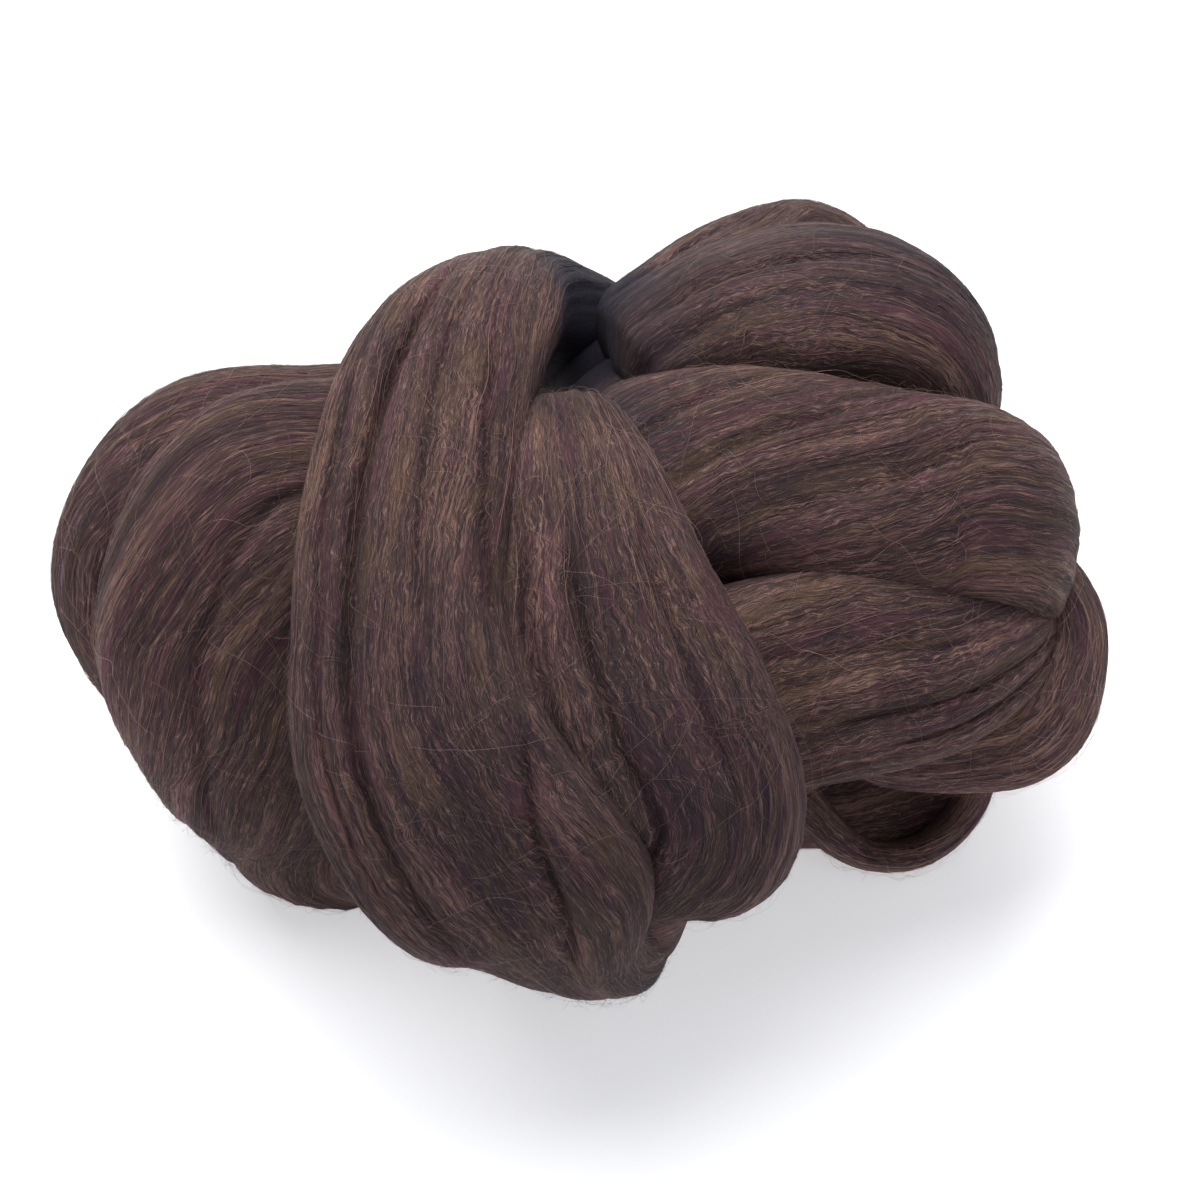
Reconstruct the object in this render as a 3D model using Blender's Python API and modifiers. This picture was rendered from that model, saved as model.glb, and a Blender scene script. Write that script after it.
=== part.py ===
"""A bundle of wool roving: a long combed length folded to and fro, its last turn wound round the middle.

The bundle lies along X on a table at Z = 0 and its neat side faces up and towards -Y.  Every fold is a loft,
a row of rounded sections along a centre line.  The lofts are fused into one solid, which is cut flat where it
rests.  All lengths in the tables are millimetres and all angles are degrees.
"""
import math
from collections import namedtuple

import bmesh
import bpy
import numpy as np
from mathutils import Matrix

MM = 0.001
NODE = "roving"
WOOL_COLOUR = (0.085, 0.052, 0.043, 1.0)
WOOL_ROUGHNESS = 0.75

# ---- driving sizes -------------------------------------------------------------------------------
LEAN = 58.0              # slope of the layout plane, on which the folds are placed, from the table
MIDDLE_HEIGHT = 62.0     # height of the layout plane's origin over the table
PLAN_MIDDLE = (-2.35, 5.62)  # middle of the bundle in plan, in the tables' frame
VOXEL = 2.1              # grid on which the folds are fused
TRIANGLE_SHARE = 0.120   # share of the fused faces that is kept
SINK = 60.0              # depth of the block that cuts the flat spots, below the table
BLOCK_SIDE = 400.0       # sides of that block

# Shape of the bundle without its winding: an ellipse at each x.
Ellipse = namedtuple("Ellipse", "x middle_y middle_z half_depth half_height")
ENVELOPE = [
    Ellipse(-125, 2, 46, 40, 30),
    Ellipse(-100, 0, 49, 60, 44),
    Ellipse(-60, -2, 51, 68, 50),
    Ellipse(-20, 2, 55, 70, 48),
    Ellipse(10, 10, 57, 78, 50),
    Ellipse(40, 20, 56, 90, 56),
    Ellipse(65, 25, 55, 94, 57),
    Ellipse(95, 25, 52, 80, 52),
    Ellipse(125, 20, 48, 60, 42),
]

# Folds at the right: out from under the winding, round a hairpin turn at the tip and back in below.
# Angles go round the envelope from the top (0) through the front (90) and the table (180) to the back (270).
Fold = namedtuple("Fold", "name start_x neck_angle belly_angle tip_angle tip_x neck_half belly_half tip_half"
                          " thick_half turn lift dive")
FOLDS = [
    Fold("back_top", 5, -57, -64, -72, 80, 16, 22, 15, 15, 15, -2, 3),
    Fold("top", 9, -36, -24, -24, 100, 19, 28, 22, 18, 18, -1, 3),
    Fold("broad", 2, -1, 14, 15, 116, 26, 27, 25, 18, 18, 0, 2),
    Fold("under", -8, 200, 196, 196, 98, 20, 28, 22, 17, 17, 2, 0),
    Fold("back_low", -8, 258, 255, 254, 86, 19, 27, 22, 17, 17, -3, 0),
    Fold("under_front", -8, 142, 146, 150, 62, 17, 24, 20, 14, 12, -2, 0),
]
BELLY_REACH = 45.0       # distance over which a fold swells from its neck to its belly
SWING_REACH = 75.0       # distance over which it swings from its neck's angle to its belly's
NECK_REACH = 12.0        # distance over which a fold comes up from the dive of its neck
TIP_REACH = 34.0         # distance over which a fold narrows towards its tip
OUTER_ROWS = 11          # sections of a fold's outer leg
BEND_STEP = 36           # degrees between the sections of its turn
INNER_ROWS = 4           # sections of its inner leg
INNER_FROM = 14.0        # distance from the turn to the inner leg's first section
INNER_SHORT = 20.0       # length by which the inner leg stops short of the outer one's start
INNER_SHARE = 0.9        # size of the inner leg beside the outer one's tip

# Winding: a superellipse round the middle, and two flat plies that follow it.
WAIST_MIDDLE_Y = -6.0
WAIST_MIDDLE_Z = 61.0
WAIST_HALF_DEPTH = 97.0
WAIST_HALF_HEIGHT = 62.5
WAIST_POWER = 2.15
Turn = namedtuple("Turn", "angle left right lift thick_half")
LEFT_PLY = [
    Turn(-200, -6, 34, -2, 10),
    Turn(-160, -10, 36, 2, 13),
    Turn(-120, -16, 30, 1, 13),
    Turn(-90, -26, 12, -1, 14),
    Turn(-66, -34, -2, -1, 14),
    Turn(-45, -46, -6, -1, 14),
    Turn(-20, -59, -12, -1, 13),
    Turn(0, -65, -16, -1, 13),
    Turn(20, -66, -17, -1, 13),
    Turn(40, -65, -9, 0, 13),
    Turn(58, -56, 3, 0, 13),
    Turn(78, -39, 17, 0, 14),
    Turn(98, -22, 14, -1, 14),
    Turn(120, -10, 18, 0, 14),
    Turn(150, -9, 24, 2, 13),
    Turn(180, -10, 26, 2, 12),
]
RIGHT_PLY = [
    Turn(-60, -8, 6, -56, 6),
    Turn(-44, -9, 5, -52, 6),
    Turn(-32, -12, 5, -43, 6),
    Turn(-23, -15, 5, -24, 6),
    Turn(-15, -18, 8, -10, 7),
    Turn(-6, -21, 15, -7, 9),
    Turn(7, -23, 25, -7, 10),
    Turn(22, -25, 35, -7, 12),
    Turn(40, -20, 44, -8, 13),
    Turn(60, -11, 48, -11, 13),
    Turn(80, -11, 34, -14, 13),
    Turn(100, -12, 25, -20, 12),
    Turn(130, -6, 20, -30, 10),
]

# Folds placed one by one on the layout plane: along it, up it and out of it.
Place = namedtuple("Place", "along up out width_half thick_half facing")
LEFT_BROAD = [
    Place(-30, 30, 10, 17, 16, 16),
    Place(-52, 24, 20, 27, 20, 22),
    Place(-70, 12, 24, 36, 23, 28),
    Place(-74, -8, 20, 41, 25, 35),
    Place(-69, -28, 8, 40, 24, 45),
    Place(-61, -44, -8, 36, 21, 60),
    Place(-52, -59, -24, 30, 17, 80),
    Place(-38, -62, -33, 22, 12, 95),
]
LEFT_RIM = [
    Place(-30, 34, 0, 18, 18, 0),
    Place(-62, 31, 0, 22, 20, 10),
    Place(-90, 22, 0, 28, 21, 20),
    Place(-104, 4, -4, 24, 19, 32),
    Place(-95, -22, -16, 19, 18, 50),
    Place(-72, -42, -30, 18, 16, 80),
]
LEFT_LOW = [
    Place(-38, 26, 12, 16, 16, 25),
    Place(-52, 5, 20, 22, 18, 32),
    Place(-64, -17, 18, 25, 18, 40),
    Place(-72, -36, 6, 25, 17, 52),
    Place(-74, -50, -10, 22, 15, 68),
    Place(-66, -60, -26, 20, 13, 88),
]
FRONT = [
    Place(-6, -31, 31, 19, 14, 39),
    Place(15, -27, 33, 22, 15, 38),
    Place(36, -23, 34, 25, 15, 37),
    Place(62, -19, 32, 25, 15, 35),
    Place(80, -17, 26, 22, 14, 34),
    Place(92, -14, 19, 17, 12, 33),
    Place(101, -11, 10, 12, 9, 32),
    Place(107, -8, 0, 8, 7, 32),
    Place(110, -6, -14, 6, 6, 32),
]
TWIST = [
    Place(94, 12, -14, 10, 10, 32),
    Place(105, 1, -8, 12, 11, 32),
    Place(109, -10, -2, 14, 12, 32),
    Place(106, -19, 2, 17, 12, 33),
    Place(100, -28, 5, 19, 12, 36),
    Place(88, -32, 6, 17, 11, 42),
    Place(73, -33, 2, 15, 11, 50),
    Place(58, -31, -8, 11, 10, 60),
]

# Low loop at the front: a thin upright wall round an open pocket.
Wall = namedtuple("Wall", "along up out depth_half thick_half")
LOOP_MIDDLE = (74.0, -50.0)
LOOP_WALL = [
    Wall(82, -24, -12, 10, 5.0),
    Wall(90, -32, -14, 10, 4.5),
    Wall(94, -43, -17, 11, 4.0),
    Wall(90, -56, -22, 12, 4.0),
    Wall(79, -65.0, -26, 12, 4.0),
    Wall(67, -65.0, -26, 12, 4.0),
    Wall(57, -58, -24, 12, 5.0),
    Wall(48, -47, -22, 12, 6.0),
]
Slab = namedtuple("Slab", "x y z width_half thick_half")
LOOP_FLOOR = [
    Slab(30, -20, 2, 17, 5),
    Slab(60, -21, 2, 17, 5),
    Slab(94, -16, 2, 16, 5),
]
LOOP_BACK = [
    Slab(8, 0, 14, 18, 14),
    Slab(50, 2, 14, 16, 14),
    Slab(90, 8, 17, 17, 16),
]

# Filling of the bundle behind its folds: of the whole envelope, and of the winding and its front.
Filling = namedtuple("Filling", "x middle_y middle_z half_depth half_height")
CORE = [
    Filling(-98, 4, 49, 44, 32),
    Filling(-70, 4, 51, 48, 35),
    Filling(-40, 2, 53, 50, 36),
    Filling(0, -4, 50, 44, 32),
    Filling(36, 16, 54, 60, 38),
    Filling(70, 25, 55, 62, 38),
    Filling(88, 25, 53, 42, 30),
]
FRONT_FILLING = [
    Filling(-38, -64, 58, 16, 20),
    Filling(-10, -70, 50, 20, 34),
    Filling(24, -64, 46, 18, 30),
]
WAIST_FILLING = [
    Filling(-38, -24, 56, 50, 40),
    Filling(0, -24, 56, 52, 42),
    Filling(30, -20, 54, 44, 38),
]

# Furrows between the strands of a fold: place across it from -1 to 1, part of its length, and size.
Furrow = namedtuple("Furrow", "loft across_start across_end start end depth half_width")
FURROWS = [
    Furrow("left_ply", -0.26, -0.60, 0.38, 0.75, 6.5, 4.0),
    Furrow("left_ply", 0.52, 0.88, 0.42, 0.63, 5.0, 3.5),
    Furrow("left_ply", 0.85, 0.05, 0.66, 0.78, 4.5, 4.0),
    Furrow("left_ply", 0.05, 0.25, 0.40, 0.64, 3.0, 3.5),
    Furrow("left_ply", -0.68, -0.78, 0.44, 0.74, 3.0, 3.0),
    Furrow("right_ply", -0.72, -0.40, 0.38, 0.90, 6.0, 4.0),
    Furrow("right_ply", -0.28, -0.05, 0.42, 0.88, 6.0, 4.0),
    Furrow("right_ply", -0.45, 0.35, 0.74, 0.97, 5.0, 4.0),
    Furrow("right_ply", 0.40, 0.50, 0.40, 0.82, 3.0, 3.5),
    Furrow("broad", -0.10, 0.80, 0.04, 0.22, 1.8, 3.0),
    Furrow("broad", -0.70, 0.70, 0.06, 0.33, 2.2, 3.0),
    Furrow("broad", -0.80, 0.30, 0.20, 0.44, 1.6, 3.0),
    Furrow("top", -0.25, 0.10, 0.05, 0.44, 2.8, 3.5),
    Furrow("front", -0.42, -0.30, 0.35, 0.95, 2.6, 2.5),
    Furrow("front", -0.70, -0.62, 0.45, 0.92, 2.2, 2.5),
    Furrow("front", 0.30, 0.10, 0.25, 0.80, 1.2, 3.0),
    Furrow("back_top", 0.10, 0.10, 0.05, 0.44, 3.0, 4.0),
    Furrow("left_broad", 0.05, -0.80, 0.18, 0.72, 2.2, 4.0),
    Furrow("left_broad", 0.80, -0.35, 0.30, 0.90, 2.2, 4.0),
    Furrow("left_low", 0.45, -0.25, 0.20, 0.75, 2.4, 4.0),
    Furrow("twist", 0.20, -0.30, 0.15, 0.75, 2.4, 3.0),
]


# ---- curves and sections -------------------------------------------------------------------------
def rows_of(table):
    """The table's numbers as an array, a row for each entry."""
    return np.array([[value for value in entry if not isinstance(value, str)] for entry in table], float)


def through(rows, stations, at):
    """Smooth curve through rows at their stations: cubics with slopes averaged from the neighbours."""
    rise = np.diff(rows, axis=0) / np.diff(stations)[:, None]
    step = np.diff(stations)[:, None]
    slope = np.empty_like(rows)
    slope[0] = rise[0]
    slope[-1] = rise[-1]
    slope[1:-1] = (rise[:-1] * step[1:] + rise[1:] * step[:-1]) / (step[1:] + step[:-1])
    piece = np.clip(np.searchsorted(stations, at, side="right") - 1, 0, len(rows) - 2)
    s = ((at - stations[piece]) / np.diff(stations)[piece])[:, None]
    span = step[piece]
    near = (2 * s**3 - 3 * s**2 + 1) * rows[piece] + (s**3 - 2 * s**2 + s) * span * slope[piece]
    far = (3 * s**2 - 2 * s**3) * rows[piece + 1] + (s**3 - s**2) * span * slope[piece + 1]
    return near + far


def unit(vectors):
    """The vectors at length 1."""
    return vectors / np.linalg.norm(vectors, axis=-1, keepdims=True)


def on_layout(along, up, out):
    """Points of the layout plane, which leans back from the table, in the object's own frame."""
    lean = math.radians(LEAN)
    y = up * math.sin(lean) - out * math.cos(lean)
    z = MIDDLE_HEIGHT + up * math.cos(lean) + out * math.sin(lean)
    return np.column_stack([along, y, z])


def facing_way(angle):
    """Direction in the YZ plane at an angle from the top towards the front."""
    turn = np.radians(angle)
    return np.column_stack([0 * turn, -np.sin(turn), np.cos(turn)])


def on_envelope(x, angle, inward):
    """Points inside the envelope at x and angle, and its outward directions there."""
    ellipses = rows_of(ENVELOPE)
    middle_y, middle_z, half_depth, half_height = through(ellipses[:, 1:], ellipses[:, 0], x).T
    turn = np.radians(angle)
    out = unit(np.column_stack([0 * turn, -np.sin(turn) / half_depth, np.cos(turn) / half_height]))
    y = middle_y - half_depth * np.sin(turn)
    z = middle_z + half_height * np.cos(turn)
    return np.column_stack([x, y, z]) - np.reshape(inward, (-1, 1)) * out, out


def on_waist(x, angle, inward):
    """Points inside the winding's superellipse at x and angle, and its outward directions there."""
    turn = np.radians(angle)
    shape = 2 / WAIST_POWER
    sine = np.sign(np.sin(turn)) * np.abs(np.sin(turn)) ** shape
    cosine = np.sign(np.cos(turn)) * np.abs(np.cos(turn)) ** shape
    sine_out = np.sign(np.sin(turn)) * np.abs(np.sin(turn)) ** (2 - shape)
    cosine_out = np.sign(np.cos(turn)) * np.abs(np.cos(turn)) ** (2 - shape)
    out = unit(np.column_stack([0 * turn, -sine_out / WAIST_HALF_DEPTH, cosine_out / WAIST_HALF_HEIGHT]))
    y = WAIST_MIDDLE_Y - WAIST_HALF_DEPTH * sine
    z = WAIST_MIDDLE_Z + WAIST_HALF_HEIGHT * cosine
    return np.column_stack([x, y, z]) - np.reshape(inward, (-1, 1)) * out, out


def path(points, width_half, thick_half, out):
    """Rows of a loft: centre point, half width, half thickness and outward direction."""
    return np.column_stack([points, width_half, thick_half, out])


def smooth_step(t):
    """Soft rise from 0 at t = 0 to 1 at t = 1."""
    t = np.clip(t, 0, 1)
    return t * t * (3 - 2 * t)


def fold_path(fold):
    """Outer leg along the envelope, half circle in the plane of the fold, and the inner leg back."""
    turn_x = fold.tip_x - fold.turn - fold.thick_half
    leg_x = np.linspace(fold.start_x, turn_x, OUTER_ROWS)
    bend_turn = np.radians(np.arange(BEND_STEP, 181, BEND_STEP))
    phase = np.concatenate([np.zeros(OUTER_ROWS), bend_turn])
    reach = np.concatenate([leg_x, turn_x + fold.turn * np.sin(np.minimum(bend_turn, 0.5 * math.pi))])
    belly = smooth_step((reach - fold.start_x) / BELLY_REACH)
    swung = smooth_step((reach - fold.start_x) / SWING_REACH)
    tip = smooth_step((reach - fold.tip_x + fold.thick_half) / TIP_REACH + 1)
    angle = fold.neck_angle + (fold.belly_angle - fold.neck_angle) * swung
    angle = angle + (fold.tip_angle - fold.belly_angle) * tip
    width = fold.neck_half + (fold.belly_half - fold.neck_half) * belly
    width = width + (fold.tip_half - fold.belly_half) * tip
    dive = fold.dive * (1 - smooth_step((reach - fold.start_x) / NECK_REACH))
    leg, out = on_envelope(np.minimum(reach, turn_x), angle, fold.thick_half - fold.lift + dive)
    spoke = np.cos(phase)[:, None] * out
    spoke[:, 0] = np.sin(phase)
    outer = path(leg + fold.turn * (spoke - out), width, np.full(len(reach), fold.thick_half), spoke)
    back = np.tile(leg[-1] - 2 * fold.turn * out[-1], (INNER_ROWS, 1))
    back[:, 0] = np.linspace(turn_x - INNER_FROM, fold.start_x + INNER_SHORT, INNER_ROWS)
    back_width = np.full(INNER_ROWS, INNER_SHARE * fold.tip_half)
    back_thick = np.full(INNER_ROWS, INNER_SHARE * fold.thick_half)
    inner = path(back, back_width, back_thick, np.tile(-out[-1], (INNER_ROWS, 1)))
    return np.concatenate([outer, inner])


def ply_path(turns):
    """A flat ply that follows the waist, a row for each angle."""
    angle, left, right, lift, thick = rows_of(turns).T
    points, out = on_waist((left + right) / 2, angle, thick - lift)
    return path(points, (right - left) / 2, thick, out)


def placed_path(places):
    """A fold placed by hand on the layout plane."""
    along, up, outward, width, thick, facing = rows_of(places).T
    return path(on_layout(along, up, outward), width, thick, facing_way(facing))


def wall_path(walls):
    """A thin wall square to the layout plane, facing away from the middle of its loop."""
    along, up, outward, depth, thick = rows_of(walls).T
    away = unit(np.column_stack([along - LOOP_MIDDLE[0], up - LOOP_MIDDLE[1]]))
    out = on_layout(away[:, 0], away[:, 1], 0 * along) - on_layout(np.zeros(1), np.zeros(1), np.zeros(1))
    return path(on_layout(along, up, outward), depth, thick, out)


def slab_path(slabs):
    """A flat length that lies on the table."""
    x, y, z, width, thick = rows_of(slabs).T
    return path(np.column_stack([x, y, z]), width, thick, facing_way(0 * x))


def filling_path(fillings):
    """Plain filling along X."""
    x, middle_y, middle_z, half_depth, half_height = rows_of(fillings).T
    return path(np.column_stack([x, middle_y, middle_z]), half_depth, half_height, facing_way(0 * x))


# ---- lofts ---------------------------------------------------------------------------------------
SECTION_POWER = 2.4      # between an ellipse (2) and a rounded box
FINE_STEPS = 600         # steps in which a centre line is measured
SMALLEST_END = 0.02      # size of an end section beside the full one


def furrow_depth(name, part, across, half_width):
    """Depth of the loft's furrows at each part of its length and place across."""
    depth = np.zeros((len(part), len(across)))
    for furrow in FURROWS:
        if furrow.loft == name:
            run = (part - furrow.start) / (furrow.end - furrow.start)
            fade = smooth_step(4 * run) * smooth_step(4 * (1 - run))
            place = furrow.across_start + (furrow.across_end - furrow.across_start) * run
            offset = (across[None, :] - place[:, None]) * half_width[:, None] / furrow.half_width
            depth = depth + furrow.depth * fade[:, None] * np.exp(-offset**2)
    return depth


def loft(name, rows, nose, steps_along, steps_round):
    """Rounded sections along a smooth centre line, with round noses: points of the skin, ring by ring."""
    chord = np.concatenate([[0], np.cumsum(np.linalg.norm(np.diff(rows[:, :3], axis=0), axis=1))])
    fine = through(rows, chord, np.linspace(0, chord[-1], FINE_STEPS))
    run = np.concatenate([[0], np.cumsum(np.linalg.norm(np.diff(fine[:, :3], axis=0), axis=1))])
    length = run[-1]
    nose_steps = steps_along // 7
    rise = nose * (1 - np.cos(0.5 * math.pi * np.arange(1, nose_steps + 1) / nose_steps))
    middle = np.linspace(nose, length - nose, steps_along - 2 * nose_steps + 2)[1:-1]
    at = np.concatenate([rise, middle, (length - rise)[::-1]])
    tangents = np.gradient(fine[:, :3], axis=0)
    row = np.column_stack([np.interp(at, run, column) for column in fine.T])
    along = unit(np.column_stack([np.interp(at, run, column) for column in tangents.T]))
    out = unit(row[:, 5:8] - (row[:, 5:8] * along).sum(1, keepdims=True) * along)
    side = np.cross(out, along)
    from_end = np.clip(1 - np.minimum(at, length - at) / nose, 0, 1)
    size = np.maximum(np.sqrt(1 - from_end**2), SMALLEST_END)[:, None]
    turn = np.linspace(0, 2 * math.pi, steps_round, endpoint=False)
    cosine = np.cos(turn)
    sine = np.sin(turn)
    radius = (np.abs(cosine) ** SECTION_POWER + np.abs(sine) ** SECTION_POWER) ** (-1 / SECTION_POWER)
    across = radius * cosine
    height = radius * sine
    sunk = furrow_depth(name, at / length, across, row[:, 3]) * np.clip(2 * height, 0, 1)
    sideways = size * row[:, 3:4] * across
    outward = size * row[:, 4:5] * height - sunk
    return row[:, None, :3] + sideways[:, :, None] * side[:, None, :] + outward[:, :, None] * out[:, None, :]


def loft_mesh(name, rows, nose=12.0, steps_along=46, steps_round=32):
    """The loft as a closed mesh in metres: rings of quads, with a fan at either end."""
    rings = loft(name, rows, nose, steps_along, steps_round)
    count, around = rings.shape[:2]
    mesh = bmesh.new()
    middle = np.array([PLAN_MIDDLE[0], PLAN_MIDDLE[1], 0.0])
    points = [[mesh.verts.new((point - middle) * MM) for point in ring] for ring in rings]
    for near, far in zip(points[:-1], points[1:]):
        for k in range(around):
            mesh.faces.new((near[k], near[k - 1], far[k - 1], far[k]))
    for ring in (points[0], points[-1]):
        mesh.faces.new(ring)
    bmesh.ops.recalc_face_normals(mesh, faces=mesh.faces)
    data = bpy.data.meshes.new(name)
    mesh.to_mesh(data)
    mesh.free()
    return data


def all_lofts():
    """Every fold of the bundle as a mesh."""
    meshes = [loft_mesh("core", filling_path(CORE), nose=30.0)]
    meshes.append(loft_mesh("waist_filling", filling_path(WAIST_FILLING), nose=10.0))
    meshes.append(loft_mesh("front_filling", filling_path(FRONT_FILLING), nose=10.0))
    for fold in FOLDS:
        meshes.append(loft_mesh(fold.name, fold_path(fold), steps_along=60))
    meshes.append(loft_mesh("left_ply", ply_path(LEFT_PLY), steps_along=110, steps_round=44))
    meshes.append(loft_mesh("right_ply", ply_path(RIGHT_PLY), steps_along=90, steps_round=44))
    meshes.append(loft_mesh("left_broad", placed_path(LEFT_BROAD), nose=14.0, steps_along=60, steps_round=40))
    meshes.append(loft_mesh("left_rim", placed_path(LEFT_RIM), nose=14.0))
    meshes.append(loft_mesh("left_low", placed_path(LEFT_LOW), nose=14.0))
    meshes.append(loft_mesh("front", placed_path(FRONT), nose=8.0, steps_along=60))
    meshes.append(loft_mesh("twist", placed_path(TWIST), nose=10.0, steps_along=60))
    meshes.append(loft_mesh("loop_wall", wall_path(LOOP_WALL), nose=5.0))
    meshes.append(loft_mesh("loop_floor", slab_path(LOOP_FLOOR), nose=8.0))
    meshes.append(loft_mesh("loop_back", slab_path(LOOP_BACK), nose=8.0))
    return meshes


# ---- scene ---------------------------------------------------------------------------------------
def clear_scene():
    """Empty scene."""
    for item in list(bpy.data.objects):
        bpy.data.objects.remove(item)


def collection(name):
    """New collection in the scene."""
    group = bpy.data.collections.new(name)
    bpy.context.scene.collection.children.link(group)
    return group


def wool():
    """Dark brown wool."""
    material = bpy.data.materials.new("wool")
    material.use_nodes = True
    shader = material.node_tree.nodes["Principled BSDF"]
    shader.inputs["Base Color"].default_value = WOOL_COLOUR
    shader.inputs["Roughness"].default_value = WOOL_ROUGHNESS
    shader.inputs["Metallic"].default_value = 0.0
    return material


def table_block(group):
    """Block below the table top, which cuts the flat spots."""
    mesh = bmesh.new()
    bmesh.ops.create_cube(mesh, size=1.0)
    data = bpy.data.meshes.new("table_block")
    mesh.to_mesh(data)
    mesh.free()
    data.transform(Matrix.Diagonal((BLOCK_SIDE * MM, BLOCK_SIDE * MM, SINK * MM, 1.0)))
    block = bpy.data.objects.new("table_block", data)
    block.location.z = -0.5 * SINK * MM
    block.hide_render = True
    block.display_type = "WIRE"
    group.objects.link(block)
    return block


def joined(meshes):
    """One mesh that holds all the given closed meshes."""
    whole = bmesh.new()
    for data in meshes:
        whole.from_mesh(data)
        bpy.data.meshes.remove(data)
    data = bpy.data.meshes.new(NODE)
    whole.to_mesh(data)
    whole.free()
    return data


def roving(group, cutter):
    """The bundle: all folds fused on a fine grid, smoothed, made lighter and cut flat at the table."""
    data = joined(all_lofts())
    data.materials.append(wool())
    bundle = bpy.data.objects.new(NODE, data)
    group.objects.link(bundle)
    fuse = bundle.modifiers.new("fuse", "REMESH")
    fuse.mode = "VOXEL"
    fuse.voxel_size = VOXEL * MM
    fuse.use_smooth_shade = True
    soften = bundle.modifiers.new("soften", "SMOOTH")
    soften.factor = 0.5
    soften.iterations = 1
    lighten = bundle.modifiers.new("lighten", "DECIMATE")
    lighten.ratio = TRIANGLE_SHARE
    flatten = bundle.modifiers.new("flatten", "BOOLEAN")
    flatten.operation = "DIFFERENCE"
    flatten.solver = "EXACT"
    flatten.object = cutter
    return bundle


def main():
    """The whole object."""
    clear_scene()
    parts = collection("wool_roving_bundle")
    cutters = collection("cutters")
    roving(parts, table_block(cutters))


main()
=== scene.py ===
"""A bundle of wool roving: a long combed length folded to and fro, its last turn wound round the middle.

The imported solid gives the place.  Each fold is laid again here as a fine skin on the same centre line, with
the furrows and combed streaks of the wool, and strands, crimps, loose hairs and short fuzz on the skins.
All lengths in the tables are millimetres and all angles are degrees.
"""
import math
from collections import namedtuple

import bpy
import numpy as np
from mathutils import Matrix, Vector
from mathutils.bvhtree import BVHTree


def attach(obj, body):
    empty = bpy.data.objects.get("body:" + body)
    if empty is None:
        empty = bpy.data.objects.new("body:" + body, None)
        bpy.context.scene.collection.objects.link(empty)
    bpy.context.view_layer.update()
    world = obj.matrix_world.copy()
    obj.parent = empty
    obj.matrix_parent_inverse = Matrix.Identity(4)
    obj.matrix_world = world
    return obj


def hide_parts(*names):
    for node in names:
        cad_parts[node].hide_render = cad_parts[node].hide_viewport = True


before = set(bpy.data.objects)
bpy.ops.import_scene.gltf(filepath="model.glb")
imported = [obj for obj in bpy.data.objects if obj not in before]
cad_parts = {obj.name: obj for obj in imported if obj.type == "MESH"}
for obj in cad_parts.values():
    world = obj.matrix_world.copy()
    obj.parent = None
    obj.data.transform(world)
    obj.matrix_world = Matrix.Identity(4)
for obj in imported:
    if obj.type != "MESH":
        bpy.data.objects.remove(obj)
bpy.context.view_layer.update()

MM = 0.001

# ---- driving sizes ----
LEAN = 58.0              # slope of the layout plane, on which the folds are placed, from the table
MIDDLE_HEIGHT = 62.0     # height of the layout plane's origin over the table
PLAN_MIDDLE = np.array([-2.35, 5.62, 0.0])   # middle of the bundle in plan, in the tables' frame

# Shape of the bundle without its winding: an ellipse at each x.
Ellipse = namedtuple("Ellipse", "x middle_y middle_z half_depth half_height")
ENVELOPE = [
    Ellipse(-125, 2, 46, 40, 30),
    Ellipse(-100, 0, 49, 60, 44),
    Ellipse(-60, -2, 51, 68, 50),
    Ellipse(-20, 2, 55, 70, 48),
    Ellipse(10, 10, 57, 78, 50),
    Ellipse(40, 20, 56, 90, 56),
    Ellipse(65, 25, 55, 94, 57),
    Ellipse(95, 25, 52, 80, 52),
    Ellipse(125, 20, 48, 60, 42),
]

# Folds at the right: out from under the winding, round a hairpin turn at the tip and back in below.
# Angles go round the envelope from the top (0) through the front (90) and the table (180) to the back (270).
Fold = namedtuple("Fold", "name start_x neck_angle belly_angle tip_angle tip_x neck_half belly_half tip_half"
                          " thick_half turn lift dive")
FOLDS = [
    Fold("back_top", 5, -57, -64, -72, 80, 16, 22, 15, 15, 15, -2, 3),
    Fold("top", 9, -36, -24, -24, 100, 19, 28, 22, 18, 18, -1, 3),
    Fold("broad", 2, -1, 14, 15, 116, 26, 27, 25, 18, 18, 0, 2),
    Fold("under", -8, 200, 196, 196, 98, 20, 28, 22, 17, 17, 2, 0),
    Fold("back_low", -8, 258, 255, 254, 86, 19, 27, 22, 17, 17, -3, 0),
    Fold("under_front", -8, 142, 146, 150, 62, 17, 24, 20, 14, 12, -2, 0),
]
BELLY_REACH = 45.0       # distance over which a fold swells from its neck to its belly
SWING_REACH = 75.0       # distance over which it swings from its neck's angle to its belly's
NECK_REACH = 12.0        # distance over which a fold comes up from the dive of its neck
TIP_REACH = 34.0         # distance over which a fold narrows towards its tip
OUTER_ROWS = 11          # sections of a fold's outer leg
BEND_STEP = 36           # degrees between the sections of its turn
INNER_ROWS = 4           # sections of its inner leg
INNER_FROM = 14.0        # distance from the turn to the inner leg's first section
INNER_SHORT = 20.0       # length by which the inner leg stops short of the outer one's start
INNER_SHARE = 0.9        # size of the inner leg beside the outer one's tip

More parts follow.
